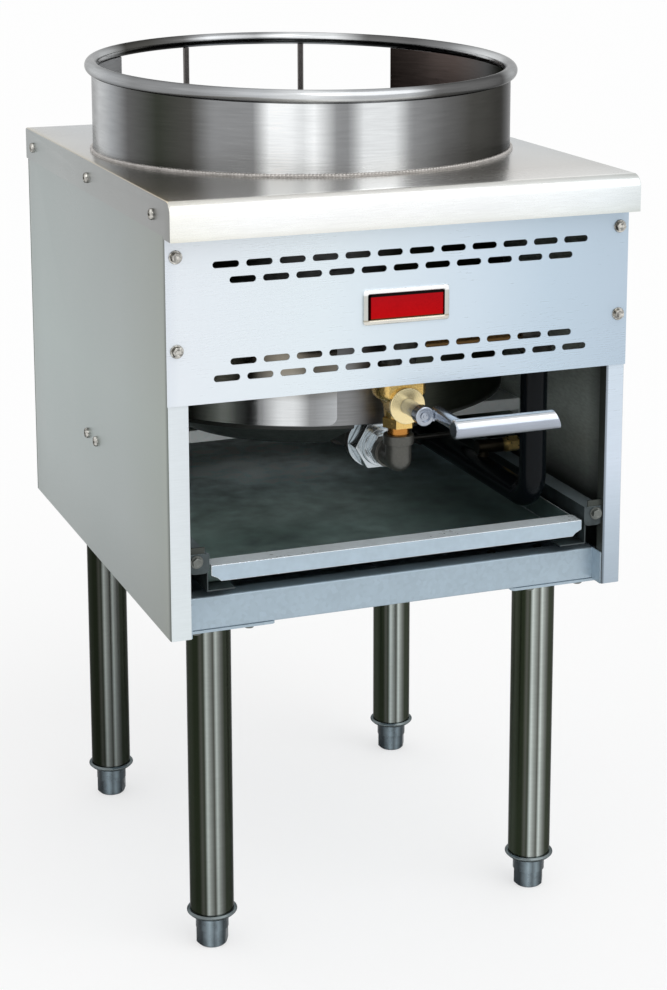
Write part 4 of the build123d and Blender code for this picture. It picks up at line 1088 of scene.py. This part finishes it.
def grown(tree, name, host_mesh, given_values):
    """Run a node tree on a few points and keep its result as one plain mesh."""
    piece = bpy.data.objects.new(name, host_mesh)
    scene.collection.objects.link(piece)
    modifier = piece.modifiers.new("grown", "NODES")
    modifier.node_group = tree
    for item in tree.interface.items_tree:
        if item.in_out == "INPUT" and item.name in given_values:
            modifier[item.identifier] = given_values[item.name]
    settled = piece.evaluated_get(bpy.context.evaluated_depsgraph_get())
    mesh = bpy.data.meshes.new_from_object(settled)
    piece.modifiers.remove(modifier)
    piece.data = mesh
    return piece


def fasteners(node, head_object, places, finish, seed):
    """Put one fastener in each hole, each tightened to its own last turn."""
    host = bpy.data.meshes.new(node)
    host.from_pydata([place for place, way in places], [], [])
    ways = host.attributes.new("facing", "FLOAT_VECTOR", "POINT")
    for k, (place, way) in enumerate(places):
        ways.data[k].vector = facing_turns[way]
    values = {
        "Fastener": head_object,
        "Size": 1.0,
        "Last turn": 2 * pi,
        "Seed": seed,
        "Finish": finish,
    }
    piece = grown(placing, node.replace("_", "-"), host, values)
    stand_in(piece, "range_body", "bright_fastener", node)


cross_head = pan_head(0.005, 0.0038)
bolt_head = hexagon_head(0.008, 0.0045, 0.006, 0.0012)
nut = hexagon_head(0.008, 0.0035, 0.0042, 0.0001, bore=0.0026)
deck_holes = [((x, y, 0.706), side) for x, side in sides_out(0.2222) for y in (-0.22, 0.0, 0.22)]
bar_holes = [((x, y, 0.450), side) for x, side in sides_out(0.221) for y in (-0.0086, 0.0246)]
back_holes = [((x, 0.2512, z), "rear") for x in (-0.212, 0.212) for z in (0.368, 0.523, 0.678)]
front_holes = [((x, -0.2512, z), "front") for x in (-0.212, 0.212) for z in (0.591, 0.673)]
runner_holes = [((x, y, 0.3997), "front") for x in (-0.1959, 0.1959) for y in (-0.2472, 0.2448)]
plate_holes = []
plate_under, plate_top = 0.3275, 0.3312
for x in (-0.19, -0.14, 0.14, 0.19):
    for y in (-0.223, -0.137, 0.137, 0.223):
        plate_holes += [((x, y, plate_under), "down"), ((x, y, plate_top), "up")]
fasteners("deck_screws", cross_head, deck_holes, plated, seed=2)
fasteners("cross_bar_screws", cross_head, bar_holes, plated, seed=5)
fasteners("back_panel_screws", cross_head, back_holes, plated, seed=7)
fasteners("front_panel_bolts", bolt_head, front_holes, plated, seed=3)
fasteners("runner_bolts", bolt_head, runner_holes, plated_dull_and_shaded, seed=9)
fasteners("leg_plate_bolts", nut, plate_holes, plated_dull_and_shaded, seed=6)
for pattern in (cross_head, bolt_head, nut):
    bpy.data.objects.remove(pattern)

# ---------- collar, rim and posts ----------
# A rolled stainless wall, welded to the deck, with a round bar welded along its top and two
# posts in its rear window.  Long upright bands of painted reflection run round it inside and
# out, and heat has browned it inside, with painted shade darker towards the right rear.
painted_shine["browned"] = (0.14, 0.11, 0.10)
painted_shine["brown_shade"] = (0.036, 0.027, 0.023)
well = (0.0, 0.01675)
collar_outside_painted_reflections = (
    (-180, "white"),
    (-171, "light"),
    (-162, "dim"),
    (-150, "deep"),
    (-139, "dark"),
    (-133, "satin"),
    (-122, "satin"),
    (-118, "white"),
    (-113, "white"),
    (-110, "bright"),
    (-107, "white"),
    (-101, "satin"),
    (-98, "satin"),
    (-94, "bright"),
    (-86, "bright"),
    (-81, "satin"),
    (-70, "dim"),
    (-60, "dark"),
    (-42, "dark"),
    (-30, "satin"),
    (20, "dim"),
    (70, "light"),
    (110, "dim"),
    (180, "white"),
)
collar_inside_painted_reflections = (
    (-180, "dark"),
    (-120, "satin"),
    (-60, "dark"),
    (-24, "dim"),
    (-12, "black"),
    (2, "dim"),
    (18, "browned"),
    (28, "browned"),
    (44, "brown_shade"),
    (90, "browned"),
    (136, "satin"),
    (160, "light"),
    (180, "dark"),
)


def banded(name, bands, rough=0.24, wander=0.16, more=()):
    """Rolled steel with upright bands of painted reflection round the well's axis and a brushed
    grain.
    """
    turned_stops = [(radians(at), painted_shine[band]) for at, band in bands]
    return metal(
        name,
        (0.3, 0.3, 0.3),
        metallic=1.0,
        rough=rough,
        grain=(2, 2, 34),
        wander=wander,
        patch=5.0,
        dent=0.02,
        edge_gloss=0.4,
        ramps=[("round", well, turned_stops), *more],
    )


collar_outside = banded("collar outside", collar_outside_painted_reflections)
collar_inside = banded("collar inside", collar_inside_painted_reflections, rough=0.32, wander=0.25)
weld = metal(
    "weld bead",
    (0.42, 0.40, 0.38),
    metallic=0.8,
    rough=0.3,
    grain=(60, 60, 60),
    wander=0.25,
    patch=80.0,
    dent=0.15,
)


def collar_faces(centre, normal):
    """The weld at the foot, the outside or the inside."""
    weld_top = 0.7262
    wall_radius = 0.2052
    out = Vector((centre.x, centre.y - well[1], 0.0))
    if centre.z < weld_top and out.length > wall_radius:
        return 2
    return 0 if out.normalized().dot(normal) > 0.3 else 1


collar_finishes = [collar_outside, collar_inside, weld]
dress("collar", "collar wall", "collar_stainless", collar_finishes, pick=collar_faces)

rim_painted_reflections = (
    (-180, "bright"),
    (-169, "light"),
    (-157, "satin"),
    (-137, "satin"),
    (-120, "light"),
    (-108, "bright"),
    (-97, "light"),
    (-83, "light"),
    (-74, "dim"),
    (-46, "dim"),
    (-37, "bright"),
    (-24, "bright"),
    (-12, "white"),
    (0, "bright"),
    (20, "satin"),
    (34, "dim"),
    (50, "dim"),
    (60, "bright"),
    (73, "bright"),
    (84, "satin"),
    (99, "light"),
    (108, "dim"),
    (122, "dark"),
    (134, "dark"),
    (150, "bright"),
    (166, "white"),
    (180, "bright"),
)
# Painted light up the bar: dark along its underside, light along its top.
rim_painted_light_by_height = (
    (0.7962, (0.45, 0.45, 0.45)),
    (0.7990, (0.80, 0.80, 0.80)),
    (0.8012, (1.0, 1.0, 1.0)),
    (0.8060, (1.0, 1.0, 1.0)),
    (0.8090, (0.92, 0.92, 0.92)),
)
rim_steel = banded(
    "rim steel",
    rim_painted_reflections,
    rough=0.2,
    more=[("tilt", (0.7962, 0.8090), rim_painted_light_by_height)],
)
dress("rim_ring", "rim bar", "collar_stainless", [rim_steel], ease=0)
post_steel = metal(
    "post steel",
    (0.16, 0.15, 0.145),
    metallic=0.8,
    rough=0.35,
    grain=(10, 10, 40),
    wander=0.2,
)
dress("collar_posts", "collar posts", "collar_stainless", [post_steel])

# The beads round the collar's foot and the tops of the legs are laid by hand, one puddle over
# the next.
laying = new_tree(
    "weld beads",
    "Beads",
    ("Centres", "Geometry"),
    ("Radius", "Float"),
    ("Puddle", "Float"),
    ("Step", "Float"),
    ("Seed", "Int"),
    ("Finish", "Material"),
)
given = laying.nodes.new("NodeGroupInput")
seam = laying.nodes.new("GeometryNodeCurvePrimitiveCircle")
seams = laying.nodes.new("GeometryNodeInstanceOnPoints")
real_seams = laying.nodes.new("GeometryNodeRealizeInstances")
stops_along = laying.nodes.new("GeometryNodeCurveToPoints")
stops_along.mode = "LENGTH"
drop = laying.nodes.new("GeometryNodeMeshUVSphere")
drop.inputs["Segments"].default_value = 12
drop.inputs["Rings"].default_value = 7
sag = laying.nodes.new("FunctionNodeRandomValue")
sag.data_type = "FLOAT_VECTOR"
sag.inputs[0].default_value = (0.85, 0.85, 1.0)
sag.inputs[1].default_value = (1.0, 1.0, 1.25)
drops = laying.nodes.new("GeometryNodeInstanceOnPoints")
solid = laying.nodes.new("GeometryNodeRealizeInstances")
smooth = laying.nodes.new("GeometryNodeSetShadeSmooth")
coated = laying.nodes.new("GeometryNodeSetMaterial")
made = laying.nodes.new("NodeGroupOutput")
seam.inputs["Resolution"].default_value = 180
wire(
    laying,
    (given, "Centres", seams, "Points"),
    (given, "Radius", seam, "Radius"),
    (seam, "Curve", seams, "Instance"),
    (seams, "Instances", real_seams, "Geometry"),
    (real_seams, "Geometry", stops_along, "Curve"),
    (given, "Step", stops_along, "Length"),
    (given, "Puddle", drop, "Radius"),
    (given, "Seed", sag, "Seed"),
    (stops_along, "Points", drops, "Points"),
    (stops_along, "Rotation", drops, "Rotation"),
    (drop, "Mesh", drops, "Instance"),
    (sag, 0, drops, "Scale"),
    (drops, "Instances", solid, "Geometry"),
    (solid, "Geometry", smooth, "Geometry"),
    (smooth, "Geometry", coated, "Geometry"),
    (given, "Finish", coated, "Material"),
    (coated, "Geometry", made, "Beads"),
)


def welds(name, centres, radius, puddle, step, seed):
    """Lay the same round bead at each of a few centres."""
    host = bpy.data.meshes.new(name)
    host.from_pydata(centres, [], [])
    values = {"Radius": radius, "Puddle": puddle, "Step": step, "Seed": seed, "Finish": weld}
    piece = grown(laying, name, host, values)
    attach(piece, "range_body")


collar_foot = [(*well, 0.7240)]
leg_tops = [(x, y, 0.3268) for x in (-leg_x, leg_x) for y in (-leg_y, leg_y)]
welds("collar-weld", collar_foot, 0.2056, 0.0024, 0.0034, seed=11)
welds("leg-welds", leg_tops, 0.0208, 0.0017, 0.0026, seed=12)

# ---------- fire chamber ----------
# The rolled drum, dull from heat, with a polished shield round its left side, the black bowl
# that closes it, and the galvanised bar that carries bowl and burner from side to side.  Drum
# and shield carry bands of painted reflection, the shield darker with painted shade above its
# lowest band, and the bar is painted lighter than the other galvanised parts, as light.
drum_painted_reflections = (
    (-180, "deep"),
    (-130, "deep"),
    (-110, "satin"),
    (-98, "satin"),
    (-92, "dim"),
    (-84, "deep"),
    (-40, "deep"),
    (60, "dim"),
    (110, "dark"),
    (180, "deep"),
)
drum_steel = banded("drum steel", drum_painted_reflections, rough=0.38, wander=0.3)
dress("chamber_drum", "chamber drum", "drum_steel", [drum_steel])
shield_painted_reflections = (
    (-180, "dark"),
    (-150, "deep"),
    (-141, "dark"),
    (-132, "bright"),
    (-126, "light"),
    (-121, "satin"),
    (-116, "bright"),
    (-112, "bright"),
    (-108, "satin"),
    (-101, "light"),
    (180, "dark"),
)
# Painted shade: the shield darker and browner above its lowest band.
shield_painted_shade_by_height = (
    (0.49, (1.0, 1.0, 1.0)),
    (0.514, (1.0, 1.0, 1.0)),
    (0.524, (0.55, 0.53, 0.49)),
    (0.545, (0.36, 0.32, 0.26)),
    (0.60, (0.30, 0.26, 0.20)),
)
shield_polish = banded(
    "shield polish",
    shield_painted_reflections,
    rough=0.15,
    more=[("z", (0.49, 0.60), shield_painted_shade_by_height)],
)
dress("heat_shield", "heat shield", "polished_stainless", [shield_polish])
black = metal(
    "black paint",
    (0.003, 0.0042, 0.0055),
    metallic=0.0,
    rough=0.2,
    grain=(12, 12, 12),
    wander=0.2,
    dent=0.03,
    specular=0.11,
)
bowl_black = metal(
    "bowl black",
    (0.020, 0.022, 0.020),
    metallic=0.2,
    rough=0.45,
    grain=(10, 10, 10),
    wander=0.25,
    dent=0.05,
)
dress("chamber_bowl", "chamber bowl", "black_paint", [bowl_black])
# The bar's zinc is painted much lighter than the other galvanised parts, as light.
bar_zinc_painted_light = metal(
    "bar zinc, painted light",
    (0.95, 1.0, 1.0),
    metallic=0.1,
    rough=0.36,
    grain=(10, 10, 10),
    wander=0.12,
    patch=24.0,
    dent=0.05,
)
dress("cross_bar", "cross bar", "galvanised_steel", [bar_zinc_painted_light])

# ---------- burner ----------
# A cast-iron pan and ported cap on the cross bar, with the iron mixing tube in front.  The
# plated air shutter turns on the plated fitting that holds the orifice.
iron = metal(
    "cast iron",
    (0.05, 0.048, 0.045),
    metallic=0.4,
    rough=0.62,
    grain=(40, 40, 40),
    wander=0.3,
    patch=20.0,
    dent=0.3,
)
for node, name in (
    ("burner_head", "burner pan"),
    ("burner_cap", "burner cap"),
    ("mixing_tube", "mixing tube"),
):
    dress(node, name, "cast_iron", [iron])
zinc_bright = metal(
    "bright zinc plate",
    (0.55, 0.60, 0.63),
    metallic=0.95,
    rough=0.2,
    grain=(12, 12, 12),
    wander=0.12,
    patch=40.0,
    dent=0.03,
)
dress("air_shutter", "air shutter", "zinc_plate", [zinc_bright], body="air_shutter")
dress("orifice_fitting", "orifice fitting", "zinc_plate", [zinc_bright], ease=0.0005)

# ---------- valve ----------
# A brass casting with a turned bonnet, screwed to brass nipples; the iron elbow below leads
# the gas back to the orifice.
fitting_iron = metal(
    "malleable iron",
    (0.105, 0.105, 0.095),
    metallic=0.7,
    rough=0.36,
    grain=(30, 30, 30),
    wander=0.2,
    patch=25.0,
    dent=0.12,
)
brass_cast = metal(
    "cast brass",
    (0.80, 0.55, 0.19),
    metallic=0.95,
    rough=0.26,
    grain=(25, 25, 25),
    wander=0.18,
    patch=30.0,
    dent=0.08,
)
brass_turned = metal(
    "turned brass",
    (0.95, 0.79, 0.44),
    metallic=0.8,
    rough=0.25,
    grain=(60, 10, 60),
    wander=0.10,
    patch=30.0,
    dent=0.02,
)
copper_brass = metal(
    "red brass",
    (0.50, 0.22, 0.05),
    metallic=0.95,
    rough=0.25,
    grain=(10, 10, 40),
    wander=0.12,
)
dress("lower_elbow", "lower elbow", "malleable_iron", [fitting_iron], ease=0.0005)
dress("valve_body", "valve body", "brass", [brass_cast], ease=0.0005)
dress("valve_bonnet", "valve bonnet", "brass", [brass_turned])
dress("valve_nipples", "valve nipples", "brass", [copper_brass])

# ---------- lever ----------
# Satin steel: the stem turns in the valve's bonnet, the hub is clamped to it with a screw,
# and the arm carries the round cross handle.
satin = metal(
    "lever satin",
    (0.42, 0.46, 0.52),
    metallic=0.95,
    rough=0.2,
    grain=(3, 40, 40),
    wander=0.12,
    patch=14.0,
    dent=0.01,
)
# Painted light round the handle: dark along its underside, a highlight along its top.
handle_painted_light = (
    (0.5087, (0.04, 0.045, 0.04)),
    (0.5105, (0.15, 0.16, 0.17)),
    (0.5135, (0.40, 0.44, 0.50)),
    (0.5185, (0.44, 0.48, 0.56)),
    (0.5215, (0.50, 0.55, 0.62)),
    (0.5238, (0.68, 0.70, 0.73)),
    (0.5263, (0.55, 0.57, 0.60)),
)
handle_satin = metal(
    "handle satin",
    (0.42, 0.46, 0.52),
    metallic=0.95,
    rough=0.2,
    grain=(3, 40, 40),
    wander=0.12,
    patch=14.0,
    dent=0.01,
    ramps=[("z", (0.5087, 0.5263), handle_painted_light)],
)
stem_satin = metal(
    "stem satin",
    (0.40, 0.42, 0.44),
    metallic=0.85,
    rough=0.3,
    grain=(4, 30, 4),
    wander=0.12,
    dent=0.02,
)
for node, name, finish, ease in (
    ("lever_stem", "lever stem", stem_satin, 0.0004),
    ("lever_hub", "lever hub", satin, 0.0006),
    ("lever_screw", "lever screw", satin, 0.0004),
    ("lever_arm", "lever arm", satin, 0.0004),
    ("lever_handle", "lever handle", handle_satin, 0.0022),
):
    dress(node, name, "satin_steel", [finish], body="valve_lever", ease=ease)

# ---------- gas pipes ----------
# Gloss black pipe with a tight bend, iron elbows and coupling, a brass manifold behind the
# front panel.
# A dark brass for the manifold behind the front panel.
brass_darkened = metal(
    "brass, darkened",
    (0.16, 0.09, 0.03),
    metallic=0.9,
    rough=0.35,
    grain=(20, 20, 20),
    wander=0.3,
    patch=30.0,
)
for node, name, finish, slot in (
    ("upper_elbow", "upper elbow", fitting_iron, "malleable_iron"),
    ("corner_elbow", "corner elbow", fitting_iron, "malleable_iron"),
    ("pipe_coupling", "pipe coupling", fitting_iron, "malleable_iron"),
    ("manifold_pipe", "manifold pipe", brass_darkened, "brass"),
    ("supply_pipe", "supply pipe", black, "black_paint"),
    ("inlet_pipe", "inlet pipe", black, "black_paint"),
):
    dress(node, name, slot, [finish])

# ---------- pilot ----------
# A brass tap, dark where it sits in the shade, and a brass pilot burner, joined by a thin
# drawn tube.
drawn = metal(
    "drawn tube",
    (0.055, 0.055, 0.05),
    metallic=0.9,
    rough=0.35,
    grain=(10, 10, 10),
    wander=0.2,
)
tap_tones = (
    (0.09, (0.02, 0.016, 0.010)),
    (0.166, (0.02, 0.016, 0.010)),
    (0.171, (0.62, 0.45, 0.17)),
    (0.21, (0.62, 0.45, 0.17)),
)
tap_brass = metal(
    "tap brass",
    (0.5, 0.4, 0.2),
    metallic=0.9,
    rough=0.3,
    grain=(20, 20, 20),
    wander=0.3,
    patch=60.0,
    ramps=[("x", (0.09, 0.21), tap_tones)],
)
for node, name, finish, slot in (
    ("pilot_fitting", "pilot fitting", tap_brass, "brass"),
    ("pilot_tube", "pilot tube", drawn, "aluminium_tube"),
    ("pilot_burner", "pilot burner", brass_turned, "brass"),
):
    dress(node, name, slot, [finish])
